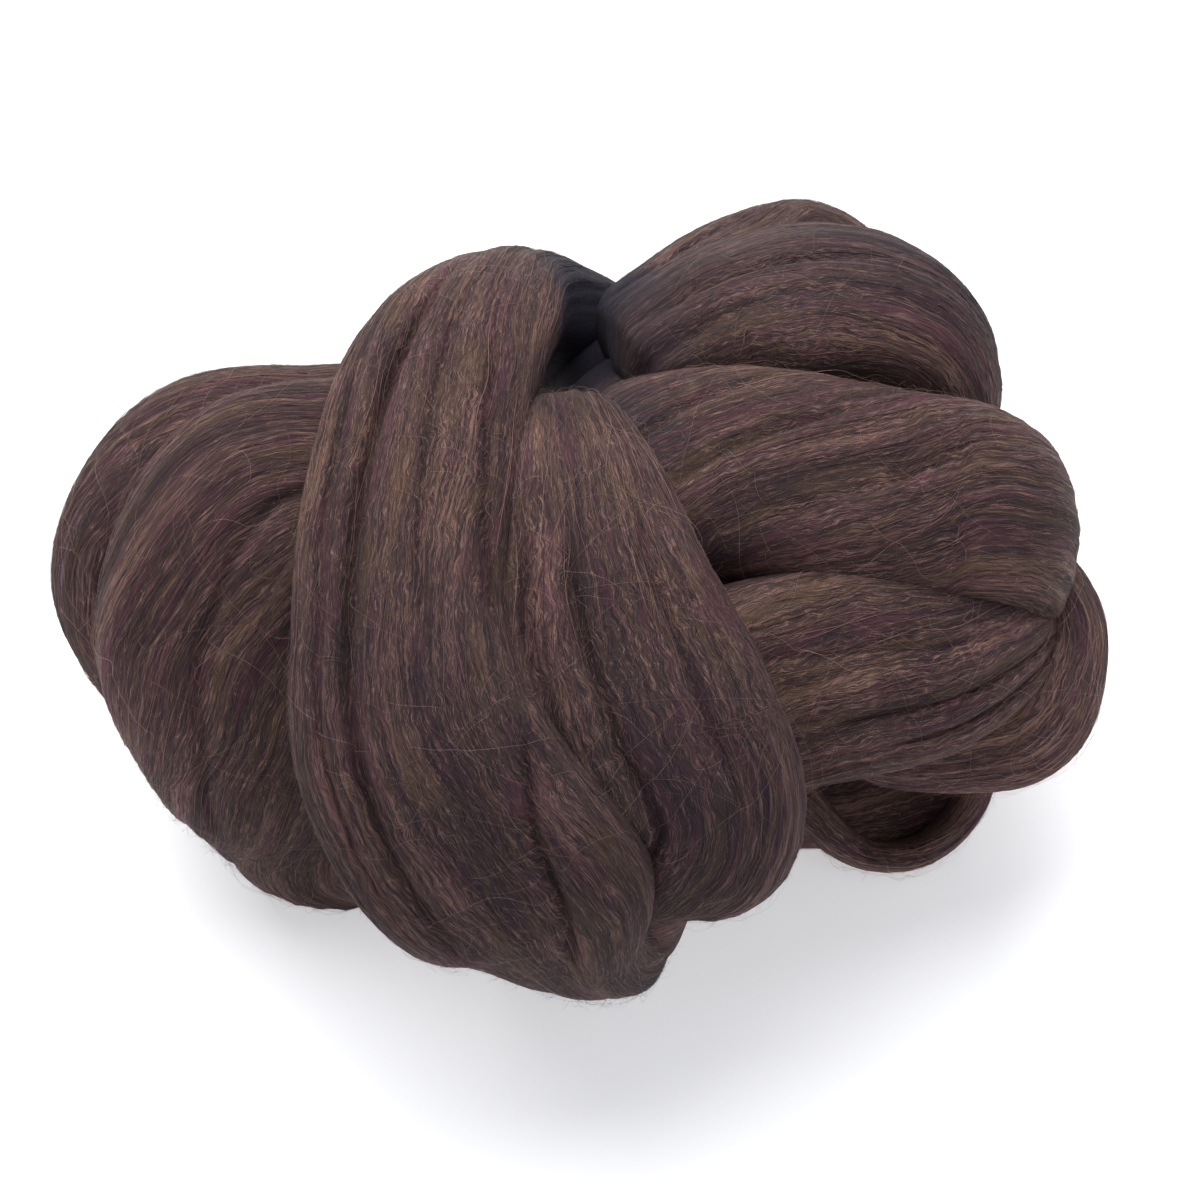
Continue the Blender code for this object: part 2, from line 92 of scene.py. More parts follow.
# Winding: a superellipse round the middle, and two flat plies that follow it.
WAIST_MIDDLE_Y = -6.0
WAIST_MIDDLE_Z = 61.0
WAIST_HALF_DEPTH = 97.0
WAIST_HALF_HEIGHT = 62.5
WAIST_POWER = 2.15
Turn = namedtuple("Turn", "angle left right lift thick_half")
LEFT_PLY = [
    Turn(-200, -6, 34, -2, 10),
    Turn(-160, -10, 36, 2, 13),
    Turn(-120, -16, 30, 1, 13),
    Turn(-90, -26, 12, -1, 14),
    Turn(-66, -34, -2, -1, 14),
    Turn(-45, -46, -6, -1, 14),
    Turn(-20, -59, -12, -1, 13),
    Turn(0, -65, -16, -1, 13),
    Turn(20, -66, -17, -1, 13),
    Turn(40, -65, -9, 0, 13),
    Turn(58, -56, 3, 0, 13),
    Turn(78, -39, 17, 0, 14),
    Turn(98, -22, 14, -1, 14),
    Turn(120, -10, 18, 0, 14),
    Turn(150, -9, 24, 2, 13),
    Turn(180, -10, 26, 2, 12),
]
RIGHT_PLY = [
    Turn(-60, -8, 6, -56, 6),
    Turn(-44, -9, 5, -52, 6),
    Turn(-32, -12, 5, -43, 6),
    Turn(-23, -15, 5, -24, 6),
    Turn(-15, -18, 8, -10, 7),
    Turn(-6, -21, 15, -7, 9),
    Turn(7, -23, 25, -7, 10),
    Turn(22, -25, 35, -7, 12),
    Turn(40, -20, 44, -8, 13),
    Turn(60, -11, 48, -11, 13),
    Turn(80, -11, 34, -14, 13),
    Turn(100, -12, 25, -20, 12),
    Turn(130, -6, 20, -30, 10),
]

# Folds placed one by one on the layout plane: along it, up it and out of it.
Place = namedtuple("Place", "along up out width_half thick_half facing")
LEFT_BROAD = [
    Place(-30, 30, 10, 17, 16, 16),
    Place(-52, 24, 20, 27, 20, 22),
    Place(-70, 12, 24, 36, 23, 28),
    Place(-74, -8, 20, 41, 25, 35),
    Place(-69, -28, 8, 40, 24, 45),
    Place(-61, -44, -8, 36, 21, 60),
    Place(-52, -59, -24, 30, 17, 80),
    Place(-38, -62, -33, 22, 12, 95),
]
LEFT_RIM = [
    Place(-30, 34, 0, 18, 18, 0),
    Place(-62, 31, 0, 22, 20, 10),
    Place(-90, 22, 0, 28, 21, 20),
    Place(-104, 4, -4, 24, 19, 32),
    Place(-95, -22, -16, 19, 18, 50),
    Place(-72, -42, -30, 18, 16, 80),
]
LEFT_LOW = [
    Place(-38, 26, 12, 16, 16, 25),
    Place(-52, 5, 20, 22, 18, 32),
    Place(-64, -17, 18, 25, 18, 40),
    Place(-72, -36, 6, 25, 17, 52),
    Place(-74, -50, -10, 22, 15, 68),
    Place(-66, -60, -26, 20, 13, 88),
]
FRONT = [
    Place(-6, -31, 31, 19, 14, 39),
    Place(15, -27, 33, 22, 15, 38),
    Place(36, -23, 34, 25, 15, 37),
    Place(62, -19, 32, 25, 15, 35),
    Place(80, -17, 26, 22, 14, 34),
    Place(92, -14, 19, 17, 12, 33),
    Place(101, -11, 10, 12, 9, 32),
    Place(107, -8, 0, 8, 7, 32),
    Place(110, -6, -14, 6, 6, 32),
]
TWIST = [
    Place(94, 12, -14, 10, 10, 32),
    Place(105, 1, -8, 12, 11, 32),
    Place(109, -10, -2, 14, 12, 32),
    Place(106, -19, 2, 17, 12, 33),
    Place(100, -28, 5, 19, 12, 36),
    Place(88, -32, 6, 17, 11, 42),
    Place(73, -33, 2, 15, 11, 50),
    Place(58, -31, -8, 11, 10, 60),
]

# Low loop at the front: a thin upright wall round an open pocket.
Wall = namedtuple("Wall", "along up out depth_half thick_half")
LOOP_MIDDLE = (74.0, -50.0)
LOOP_WALL = [
    Wall(82, -24, -12, 10, 5.0),
    Wall(90, -32, -14, 10, 4.5),
    Wall(94, -43, -17, 11, 4.0),
    Wall(90, -56, -22, 12, 4.0),
    Wall(79, -65.0, -26, 12, 4.0),
    Wall(67, -65.0, -26, 12, 4.0),
    Wall(57, -58, -24, 12, 5.0),
    Wall(48, -47, -22, 12, 6.0),
]
Slab = namedtuple("Slab", "x y z width_half thick_half")
LOOP_FLOOR = [
    Slab(30, -20, 2, 17, 5),
    Slab(60, -21, 2, 17, 5),
    Slab(94, -16, 2, 16, 5),
]
LOOP_BACK = [
    Slab(8, 0, 14, 18, 14),
    Slab(50, 2, 14, 16, 14),
    Slab(90, 8, 17, 17, 16),
]

# Filling behind the folds, an ellipse at each x: of the envelope, and of the winding and its front.
CORE = [
    Ellipse(-98, 4, 49, 44, 32),
    Ellipse(-70, 4, 51, 48, 35),
    Ellipse(-40, 2, 53, 50, 36),
    Ellipse(0, -4, 50, 44, 32),
    Ellipse(36, 16, 54, 60, 38),
    Ellipse(70, 25, 55, 62, 38),
    Ellipse(88, 25, 53, 42, 30),
]
FRONT_FILLING = [
    Ellipse(-38, -64, 58, 16, 20),
    Ellipse(-10, -70, 50, 20, 34),
    Ellipse(24, -64, 46, 18, 30),
]
WAIST_FILLING = [
    Ellipse(-38, -24, 56, 50, 40),
    Ellipse(0, -24, 56, 52, 42),
    Ellipse(30, -20, 54, 44, 38),
]

# Furrows between the strands of a fold: place across it from -1 to 1, part of its length, and size.
Furrow = namedtuple("Furrow", "across_start across_end start end depth half_width")
FURROWS = {
    "left_ply": [Furrow(-0.26, -0.60, 0.38, 0.75, 6.5, 4.0), Furrow(0.52, 0.88, 0.42, 0.63, 5.0, 3.5),
                 Furrow(0.85, 0.05, 0.66, 0.78, 4.5, 4.0), Furrow(0.05, 0.25, 0.40, 0.64, 3.0, 3.5),
                 Furrow(-0.68, -0.78, 0.44, 0.74, 3.0, 3.0)],
    "right_ply": [Furrow(-0.72, -0.40, 0.38, 0.90, 6.0, 4.0), Furrow(-0.28, -0.05, 0.42, 0.88, 6.0, 4.0),
                  Furrow(-0.45, 0.35, 0.74, 0.97, 5.0, 4.0), Furrow(0.40, 0.50, 0.40, 0.82, 3.0, 3.5)],
    "broad": [Furrow(-0.10, 0.80, 0.04, 0.22, 1.8, 3.0), Furrow(-0.70, 0.70, 0.06, 0.33, 2.2, 3.0),
              Furrow(-0.80, 0.30, 0.20, 0.44, 1.6, 3.0)],
    "top": [Furrow(-0.25, 0.10, 0.05, 0.44, 2.8, 3.5)],
    "front": [Furrow(-0.42, -0.30, 0.35, 0.95, 2.6, 2.5), Furrow(-0.70, -0.62, 0.45, 0.92, 2.2, 2.5),
              Furrow(0.30, 0.10, 0.25, 0.80, 1.2, 3.0)],
    "back_top": [Furrow(0.10, 0.10, 0.05, 0.44, 3.0, 4.0)],
    "left_broad": [Furrow(0.05, -0.80, 0.18, 0.72, 2.2, 4.0), Furrow(0.80, -0.35, 0.30, 0.90, 2.2, 4.0)],
    "left_low": [Furrow(0.45, -0.25, 0.20, 0.75, 2.4, 4.0)],
    "twist": [Furrow(0.20, -0.30, 0.15, 0.75, 2.4, 3.0)],
}


# ---- curves and sections ----
def through(rows, stations, at):
    """Smooth curve through rows at their stations: cubics with slopes averaged from the neighbours."""
    rise = np.diff(rows, axis=0) / np.diff(stations)[:, None]
    step = np.diff(stations)[:, None]
    slope = np.empty_like(rows)
    slope[0] = rise[0]
    slope[-1] = rise[-1]
    slope[1:-1] = (rise[:-1] * step[1:] + rise[1:] * step[:-1]) / (step[1:] + step[:-1])
    piece = np.clip(np.searchsorted(stations, at, side="right") - 1, 0, len(rows) - 2)
    s = ((at - stations[piece]) / np.diff(stations)[piece])[:, None]
    span = step[piece]
    near = (2 * s**3 - 3 * s**2 + 1) * rows[piece] + (s**3 - 2 * s**2 + s) * span * slope[piece]
    far = (3 * s**2 - 2 * s**3) * rows[piece + 1] + (s**3 - s**2) * span * slope[piece + 1]
    return near + far


def unit(vectors):
    """The vectors at length 1."""
    return vectors / np.linalg.norm(vectors, axis=-1, keepdims=True)


def signed_power(value, power):
    """The value's size raised to a power, with the value's own sign."""
    return np.sign(value) * np.abs(value) ** power


def run_along(points):
    """Distance of each point of a line from its first, along the line."""
    return np.concatenate([[0], np.cumsum(np.linalg.norm(np.diff(points, axis=0), axis=1))])


def on_layout(along, up, out):
    """Points of the layout plane, which leans back from the table, in the tables' frame."""
    lean = math.radians(LEAN)
    y = up * math.sin(lean) - out * math.cos(lean)
    z = MIDDLE_HEIGHT + up * math.cos(lean) + out * math.sin(lean)
    return np.column_stack([along, y, z])


def facing_way(angle):
    """Direction in the YZ plane at an angle from the top towards the front."""
    turn = np.radians(angle)
    return np.column_stack([0 * turn, -np.sin(turn), np.cos(turn)])


def on_envelope(x, angle, inward):
    """Points inside the envelope at x and angle, and its outward directions there."""
    ellipses = np.array(ENVELOPE, float)
    middle_y, middle_z, half_depth, half_height = through(ellipses[:, 1:], ellipses[:, 0], x).T
    turn = np.radians(angle)
    out = unit(np.column_stack([0 * turn, -np.sin(turn) / half_depth, np.cos(turn) / half_height]))
    y = middle_y - half_depth * np.sin(turn)
    z = middle_z + half_height * np.cos(turn)
    return np.column_stack([x, y, z]) - np.reshape(inward, (-1, 1)) * out, out


def on_waist(x, angle, inward):
    """Points inside the winding's superellipse at x and angle, and its outward directions there."""
    turn = np.radians(angle)
    shape = 2 / WAIST_POWER
    y = WAIST_MIDDLE_Y - WAIST_HALF_DEPTH * signed_power(np.sin(turn), shape)
    z = WAIST_MIDDLE_Z + WAIST_HALF_HEIGHT * signed_power(np.cos(turn), shape)
    out_y = -signed_power(np.sin(turn), 2 - shape) / WAIST_HALF_DEPTH
    out_z = signed_power(np.cos(turn), 2 - shape) / WAIST_HALF_HEIGHT
    out = unit(np.column_stack([0 * turn, out_y, out_z]))
    return np.column_stack([x, y, z]) - np.reshape(inward, (-1, 1)) * out, out


def path(points, width_half, thick_half, out):
    """Rows of a loft: centre point, half width, half thickness and outward direction."""
    return np.column_stack([points, width_half, thick_half, out])


def smooth_step(t):
    """Soft rise from 0 at t = 0 to 1 at t = 1."""
    t = np.clip(t, 0, 1)
    return t * t * (3 - 2 * t)


def fold_path(fold):
    """Outer leg along the envelope, half circle in the plane of the fold, and the inner leg back."""
    turn_x = fold.tip_x - fold.turn - fold.thick_half
    leg_x = np.linspace(fold.start_x, turn_x, OUTER_ROWS)
    bend_turn = np.radians(np.arange(BEND_STEP, 181, BEND_STEP))
    phase = np.concatenate([np.zeros(OUTER_ROWS), bend_turn])
    reach = np.concatenate([leg_x, turn_x + fold.turn * np.sin(np.minimum(bend_turn, 0.5 * math.pi))])
    belly = smooth_step((reach - fold.start_x) / BELLY_REACH)
    swung = smooth_step((reach - fold.start_x) / SWING_REACH)
    tip = smooth_step((reach - fold.tip_x + fold.thick_half) / TIP_REACH + 1)
    angle = fold.neck_angle + (fold.belly_angle - fold.neck_angle) * swung
    angle = angle + (fold.tip_angle - fold.belly_angle) * tip
    width = fold.neck_half + (fold.belly_half - fold.neck_half) * belly
    width = width + (fold.tip_half - fold.belly_half) * tip
    dive = fold.dive * (1 - smooth_step((reach - fold.start_x) / NECK_REACH))
    leg, out = on_envelope(np.minimum(reach, turn_x), angle, fold.thick_half - fold.lift + dive)
    spoke = np.cos(phase)[:, None] * out
    spoke[:, 0] = np.sin(phase)
    outer = path(leg + fold.turn * (spoke - out), width, np.full(len(reach), fold.thick_half), spoke)
    back = np.tile(leg[-1] - 2 * fold.turn * out[-1], (INNER_ROWS, 1))
    back[:, 0] = np.linspace(turn_x - INNER_FROM, fold.start_x + INNER_SHORT, INNER_ROWS)
    back_width = np.full(INNER_ROWS, INNER_SHARE * fold.tip_half)
    back_thick = np.full(INNER_ROWS, INNER_SHARE * fold.thick_half)
    inner = path(back, back_width, back_thick, np.tile(-out[-1], (INNER_ROWS, 1)))
    return np.concatenate([outer, inner])


def ply_path(turns):
    """A flat ply that follows the waist, a row for each angle."""
    angle, left, right, lift, thick = np.array(turns, float).T
    points, out = on_waist((left + right) / 2, angle, thick - lift)
    return path(points, (right - left) / 2, thick, out)


def placed_path(places):
    """A fold placed on the layout plane."""
    along, up, outward, width, thick, facing = np.array(places, float).T
    return path(on_layout(along, up, outward), width, thick, facing_way(facing))


def wall_path(walls):
    """A thin wall square to the layout plane, facing away from the middle of its loop."""
    along, up, outward, depth, thick = np.array(walls, float).T
    away = unit(np.column_stack([along - LOOP_MIDDLE[0], up - LOOP_MIDDLE[1]]))
    out = on_layout(away[:, 0], away[:, 1], 0 * along) - on_layout(np.zeros(1), np.zeros(1), np.zeros(1))
    return path(on_layout(along, up, outward), depth, thick, out)


def slab_path(slabs):
    """A flat length that lies on the table."""
    x, y, z, width, thick = np.array(slabs, float).T
    return path(np.column_stack([x, y, z]), width, thick, facing_way(0 * x))


def filling_path(fillings):
    """Plain filling along X."""
    x, middle_y, middle_z, half_depth, half_height = np.array(fillings, float).T
    return path(np.column_stack([x, middle_y, middle_z]), half_depth, half_height, facing_way(0 * x))


# ---- combed relief ----
LATTICE_SIDE = 512
LATTICE = np.random.default_rng(11).random((LATTICE_SIDE, LATTICE_SIDE))
SEED_SHIFT = (37, 91)    # steps over the lattice for each seed, so that every seed reads other values
WANDER_SEED = 50         # first seed of the wander after a skin's own

# Mounds between valleys that run with the fibres: length, width, height, and a power that sharpens valleys.
Streak = namedtuple("Streak", "length width height power")
STREAKS = [
    Streak(150, 9.0, 1.2, 1.3),
    Streak(90, 3.6, 0.60, 0.6),
    Streak(45, 1.7, 0.25, 0.7),
]
# Slow sideways wander of the fibres: how far, and over what length and width.
Wander = namedtuple("Wander", "reach length width")
WANDERS = [
    Wander(9.0, 80, 45),
    Wander(2.0, 28, 14),
]

# Lean of the fibres against their fold: how far they have shifted round it at each distance from its start,
# at its upper edge and at its lower one.
Lean = namedtuple("Lean", "distance upper lower")
LEANS = {
    "broad": [Lean(0, 0, 0), Lean(30, 17, 11), Lean(60, 37, 25), Lean(90, 52, 37), Lean(120, 58, 43)],
    "top": [Lean(0, 0, 0), Lean(30, 12, 3), Lean(65, 17, 5), Lean(95, 12, 3), Lean(130, 0, 0)],
    "front": [Lean(0, 0, 0), Lean(30, 7, 4), Lean(60, 14, 8), Lean(100, 16, 10)],
    "left_broad": [Lean(0, 0, 0), Lean(25, -6, -4), Lean(50, -22, -18), Lean(80, -48, -42),
                   Lean(110, -74, -68), Lean(135, -92, -86)],
    "left_rim": [Lean(0, 0, 0), Lean(60, -6, -4), Lean(90, -22, -16), Lean(130, -44, -36)],
    "left_low": [Lean(0, 0, 0), Lean(50, -14, -12), Lean(110, -46, -42)],
}
UPPER_EDGE = 0.25        # part of the way round a section at its upper edge
LOWER_EDGE = 0.75        # and at its lower edge

# Painted light and shade: a factor on the plain brown at parts of a fold's length, at its upper and its lower
# edge.
PaintedShading = namedtuple("PaintedShading", "part upper lower")
PAINTED_SHADING = {
    "left_ply": [PaintedShading(0.40, 1.08, 1.08), PaintedShading(0.52, 1.08, 1.08), PaintedShading(0.60, 0.82, 0.82),
                 PaintedShading(0.68, 0.78, 0.78)],
    "right_ply": [PaintedShading(0.20, 1.25, 1.25), PaintedShading(0.45, 1.22, 1.22), PaintedShading(0.65, 0.74, 0.74)],
    "top": [PaintedShading(0.0, 0.55, 0.45), PaintedShading(0.05, 0.60, 0.50), PaintedShading(0.12, 0.50, 0.75),
            PaintedShading(0.20, 0.36, 1.05)],
    "back_top": [PaintedShading(0.0, 0.20, 0.20), PaintedShading(0.10, 0.80, 0.80)],
    "broad": [PaintedShading(0.0, 0.60, 0.60), PaintedShading(0.08, 0.98, 0.98)],
    "front": [PaintedShading(0.4, 0.90, 1.20), PaintedShading(0.7, 1.05, 1.50)],
    "twist": [PaintedShading(0.0, 1.6, 1.6)],
    "left_broad": [PaintedShading(0.30, 1.02, 1.02), PaintedShading(0.42, 0.85, 1.25), PaintedShading(0.51, 0.55, 2.0),
                   PaintedShading(0.62, 0.28, 1.6), PaintedShading(0.80, 0.38, 1.20)],
    "left_low": [PaintedShading(0.0, 0.95, 0.95), PaintedShading(0.5, 1.35, 1.35)],
    "left_rim": [PaintedShading(0.3, 1.0, 1.0), PaintedShading(0.7, 1.6, 1.6)],
    "loop_wall": [PaintedShading(0.0, 1.7, 1.7)],
    "loop_back": [PaintedShading(0.0, 2.0, 2.0)],
    "loop_floor": [PaintedShading(0.0, 2.1, 2.1)],
}
# No painted light or shade: a factor of one all along.
UNPAINTED = PaintedShading(0.0, 1.0, 1.0)

# Deep pits, by a point of the tables' frame: within half the radius the light sinks to its least.
Pit = namedtuple("Pit", "x y z radius least")
PITS = [
    Pit(-3.0, 65.0, 77.0, 30.0, 0.0),
    Pit(-2.0, 25.0, 110.0, 20.0, 0.60),
    Pit(14.5, 12.5, 106.0, 12.0, 0.65),
]


def from_upper_edge(part_round):
    """Share of the way from a section's upper edge to its lower one."""
    return np.clip((part_round - UPPER_EDGE) / (LOWER_EDGE - UPPER_EDGE), 0, 1)


def lean_of(name, u, part_round):
    """Shift of the fibres of a fold at distance u along it and part of the way round it."""
    if name not in LEANS:
        return 0 * u * part_round
    rows = np.array(LEANS[name], float)
    at = np.clip(u, rows[0, 0], rows[-1, 0])
    shifts = through(rows[:, 1:], rows[:, 0], at.ravel())
    share = from_upper_edge(part_round)
    return shifts[:, 0].reshape(at.shape) * (1 - share) + shifts[:, 1].reshape(at.shape) * share


def painted_shading_of(name, part, part_round):
    """Painted light and shade of the wool at parts of the length of a fold and of the way round it."""
    rows = np.array(PAINTED_SHADING.get(name, [UNPAINTED]), float)
    share = from_upper_edge(part_round)
    upper = np.interp(part, rows[:, 0], rows[:, 1])
    return upper * (1 - share) + np.interp(part, rows[:, 0], rows[:, 2]) * share


def pit_light(points):
    """Share of the light at points in millimetres: one, and less towards the middle of a pit."""
    light = np.ones(len(points))
    for pit in PITS:
        away = np.linalg.norm(points + PLAN_MIDDLE - (pit.x, pit.y, pit.z), axis=1)
        light = light * (pit.least + (1 - pit.least) * smooth_step(2 * away / pit.radius - 1))
    return light


def noise(x, y, seed):
    """Smooth noise from 0 to 1: random values at whole x and y, eased between the four neighbours."""
    left = np.floor(x).astype(int)
    low = np.floor(y).astype(int)
    s = smooth_step(x - left)
    t = smooth_step(y - low)
    left = left + SEED_SHIFT[0] * seed
    low = low + SEED_SHIFT[1] * seed
    side = LATTICE_SIDE
    near = LATTICE[left % side, low % side] * (1 - s) + LATTICE[(left + 1) % side, low % side] * s
    far = LATTICE[left % side, (low + 1) % side] * (1 - s) + LATTICE[(left + 1) % side, (low + 1) % side] * s
    return near * (1 - t) + far * t


def wandering(name, u, v, lap, seed):
    """Sideways shift of the fibres at distance u along a skin and v of lap round it: lean and slow noises."""
    shift = lean_of(name, u, v / lap)
    for k, wander in enumerate(WANDERS, WANDER_SEED):
        shift = shift + wander.reach * (noise(u / wander.length, v / wander.width, seed + k) - 0.5)
    return shift


def streaks(u, v, seed):
    """Height of the streaks: for each size, a power of |2 n - 1|, of noise n drawn out along u."""
    height = 0 * u * v
    for k, streak in enumerate(STREAKS):
        mound = np.abs(2 * noise(u / streak.length, v / streak.width, seed + k) - 1) ** streak.power
        height = height + streak.height * (mound - 0.5)
    return height


# ---- skins ----
SECTION_POWER = 2.4      # between an ellipse (2) and a rounded box
FINE_STEPS = 600         # steps in which a centre line is measured
SMALLEST_END = 0.02      # size of an end section beside the full one
NOSE_STEPS = 9           # rings of points of a round nose
SECTION_STEPS = 1440     # steps in which a section's outline is measured
HIDDEN_STEP = 3.2        # distance between the points on a skin's inner side
FINE_FROM, FINE_RISE = -0.75, 0.4       # height in a section from which points lie close, and the change
RELIEF_FROM, RELIEF_RISE = -0.7, 0.5    # height from which the streaks show, and the change
SHARP_SHARE = 0.70       # share of a furrow's depth in its narrow cut
SHARP_TIMES = 3          # how many times narrower the cut is than the dip
FADE_TIMES = 4           # a furrow fades in over a quarter of its length, and out over another

# A skin's points and outward directions, its distances u along and v round with the whole lap last, and the
# place across the fibres of every point.
Skin = namedtuple("Skin", "name points out u v comb")


def furrow_depth(name, part, across, half_width):
    """Depth of the furrows at each part of the length and place across: a wide dip and a narrow cut."""
    depth = np.zeros((len(part), len(across)))
    for furrow in FURROWS.get(name, ()):
        run = (part - furrow.start) / (furrow.end - furrow.start)
        fade = smooth_step(FADE_TIMES * run) * smooth_step(FADE_TIMES * (1 - run))
        place = furrow.across_start + (furrow.across_end - furrow.across_start) * run
        offset = (across[None, :] - place[:, None]) * half_width[:, None] / furrow.half_width
        sharp = np.exp(-(SHARP_TIMES * offset) ** 2)
        dip = (1 - SHARP_SHARE) * np.exp(-offset**2) + SHARP_SHARE * sharp
        depth = depth + furrow.depth * fade[:, None] * dip
    return depth


def rounded(turn):
    """Place across and height, from -1 to 1, of a section between an ellipse and a box at angles round it."""
    size = np.abs(np.cos(turn)) ** SECTION_POWER + np.abs(np.sin(turn)) ** SECTION_POWER
    radius = size ** (-1 / SECTION_POWER)
    return radius * np.cos(turn), radius * np.sin(turn)


def section(width, thick, step):
    """Angles round a rounded section, closer on its outer side, their distances round it and its lap."""
    turn = np.linspace(-0.5 * math.pi, 1.5 * math.pi, SECTION_STEPS + 1)
    across, height = rounded(turn)
    arc = run_along(np.column_stack([width * across, thick * height]))
    outer = smooth_step((height - FINE_FROM) / FINE_RISE)
    density = outer / step + (1 - outer) / HIDDEN_STEP
    count = np.concatenate([[0], np.cumsum(0.5 * (density[1:] + density[:-1]) * np.diff(arc))])
    at = np.arange(int(count[-1])) * count[-1] / int(count[-1])
    return np.interp(at, count, turn), np.interp(at, count, arc), arc[-1]


def stations(length, nose, step):
    """Distances along a skin: even steps, and rings that close in like a circle at its two noses."""
    rise = nose * (1 - np.cos(0.5 * math.pi * np.arange(1, NOSE_STEPS + 1) / NOSE_STEPS))
    middle = np.linspace(nose, length - nose, int(length / step))[1:-1]
    return np.concatenate([rise, middle, (length - rise)[::-1]])


def combed_skin(lay, rows, lowest):
    """Rounded sections on a smooth centre line, with round noses, lowered in furrows and raised in streaks.

    The point at distance u along and angle t round is the centre, plus the half width times the section's
    cosine sideways, plus the half thickness times its sine outwards, plus the relief along the section's
    own normal.  Nothing lies under the lowest height.
    """
    chord = run_along(rows[:, :3])
    fine = through(rows, chord, np.linspace(0, chord[-1], FINE_STEPS))
    run = run_along(fine[:, :3])
    length = run[-1]
    u = stations(length, lay.nose, lay.along)
    tangents = np.gradient(fine[:, :3], axis=0)
    row = np.column_stack([np.interp(u, run, column) for column in fine.T])
    along = unit(np.column_stack([np.interp(u, run, column) for column in tangents.T]))
    out = unit(row[:, 5:8] - (row[:, 5:8] * along).sum(1, keepdims=True) * along)
    side = np.cross(out, along)
    from_end = np.clip(1 - np.minimum(u, length - u) / lay.nose, 0, 1)
    size = np.maximum(np.sqrt(1 - from_end**2), SMALLEST_END)[:, None]
    half_width, half_thick = row[:, 3:4], row[:, 4:5]
    turn, v, lap = section(half_width.mean(), half_thick.mean(), lay.across)
    across, height = rounded(turn)
    comb = v[None, :] + wandering(lay.name, u[:, None], v[None, :], lap, lay.seed)
    sunk = furrow_depth(lay.name, u / length, across, row[:, 3]) * np.clip(2 * height, 0, 1)
    raised = streaks(u[:, None], comb, lay.seed) * (smooth_step((height - RELIEF_FROM) / RELIEF_RISE) * size)
    slope_across = signed_power(across, SECTION_POWER - 1) / half_width
    slope_out = signed_power(height, SECTION_POWER - 1) / half_thick
    steep = np.hypot(slope_across, slope_out)
    sideways = size * half_width * across + raised * slope_across / steep
    outward = size * half_thick * height - sunk + raised * slope_out / steep
    points = row[:, None, :3] - PLAN_MIDDLE
    points = points + sideways[:, :, None] * side[:, None, :] + outward[:, :, None] * out[:, None, :]
    points[:, :, 2] = np.maximum(points[:, :, 2], lowest)
    round_step = np.roll(points, -1, axis=1) - np.roll(points, 1, axis=1)
    facing = unit(np.cross(round_step, np.gradient(points, axis=0)) + 1e-9)
    return Skin(lay.name, points, facing, u, np.append(v, lap), comb)


# ---- meshes ----
UV_SHARE = 0.01          # UV for each millimetre
LOWEST_FIBRE = 0.02      # height over the table under which no fibre lies


def mesh_piece(name, points, corners, sizes, uv, shade):
    """A piece from points in millimetres, its faces' corners in a row, each face's size, UV and shade."""
    data = bpy.data.meshes.new(name)
    data.vertices.add(len(points))
    data.vertices.foreach_set("co", (points * MM).astype(np.float32).ravel())
    data.loops.add(len(corners))
    data.loops.foreach_set("vertex_index", corners.astype(np.int32))
    data.polygons.add(len(sizes))
    starts = np.concatenate([[0], np.cumsum(sizes)[:-1]])
    data.polygons.foreach_set("loop_start", starts.astype(np.int32))
    data.polygons.foreach_set("use_smooth", np.ones(len(sizes), dtype=bool))
    layer = data.uv_layers.new(name="fibre")
    layer.uv.foreach_set("vector", uv.astype(np.float32).ravel())
    # The shade attribute carries the painted light and shade, darkened further as painted shade in the pits.
    tone = data.attributes.new("shade", "FLOAT", "POINT")
    tone.data.foreach_set("value", (shade.ravel() * pit_light(points)).astype(np.float32))
    data.update(calc_edges=True)
    data.validate()
    piece = bpy.data.objects.new(name, data)
    bpy.context.scene.collection.objects.link(piece)
    return piece


def ring_quads(rows, columns, way=1):
    """Quads between closed rings of points, each point's number, and that of the next one that way round."""
    index = np.arange(rows * columns).reshape(rows, columns)
    following = np.roll(index, -way, axis=1)
    quads = np.stack([index[:-1], following[:-1], following[1:], index[1:]], axis=-1).reshape(-1, 4)
    return quads, index, following


def closed_faces(rows, columns, way=1):
    """Corners and sizes of the quads between rings, and of a fan at either end round the two last points."""
    quads, index, following = ring_quads(rows, columns, way)
    first = np.full(columns, rows * columns)
    fans = np.concatenate([np.column_stack([first, following[0], index[0]]),
                           np.column_stack([first + 1, index[-1], following[-1]])])
    sizes = np.concatenate([np.full(len(quads), 4), np.full(len(fans), 3)])
    return np.concatenate([quads.ravel(), fans.ravel()]), sizes


def skin_piece(skin):
    """The skin as a closed mesh, its UV the distance along and the place across the fibres."""
    rows, columns = skin.points.shape[:2]
    corners, sizes = closed_faces(rows, columns)
    points = np.concatenate([skin.points.reshape(-1, 3), skin.points[:1].mean(1), skin.points[-1:].mean(1)])
    lap = skin.v[-1]
    comb = np.column_stack([skin.comb, skin.comb[:, 0] + lap])
    place = np.stack([np.broadcast_to(skin.u[:, None], comb.shape), comb], axis=-1)
    near, far = place[:-1], place[1:]
    quad_uv = np.stack([near[:, :-1], near[:, 1:], far[:, 1:], far[:, :-1]], axis=2).reshape(-1, 2)
    first, last = place[0], place[-1]
    first_uv = np.stack([first[:-1], first[1:], first[:-1]], axis=1).reshape(-1, 2)
    last_uv = np.stack([last[:-1], last[:-1], last[1:]], axis=1).reshape(-1, 2)
    uv = np.concatenate([quad_uv, first_uv, last_uv]) * UV_SHARE
    # Painted light and shade at each point of the skin.
    shade = painted_shading_of(skin.name, skin.u[:, None] / skin.u[-1], skin.v[None, :-1] / lap)
    shade = np.concatenate([shade.ravel(), shade[0, :1], shade[-1, :1]])
    return mesh_piece(skin.name, points, corners, sizes, uv, shade)


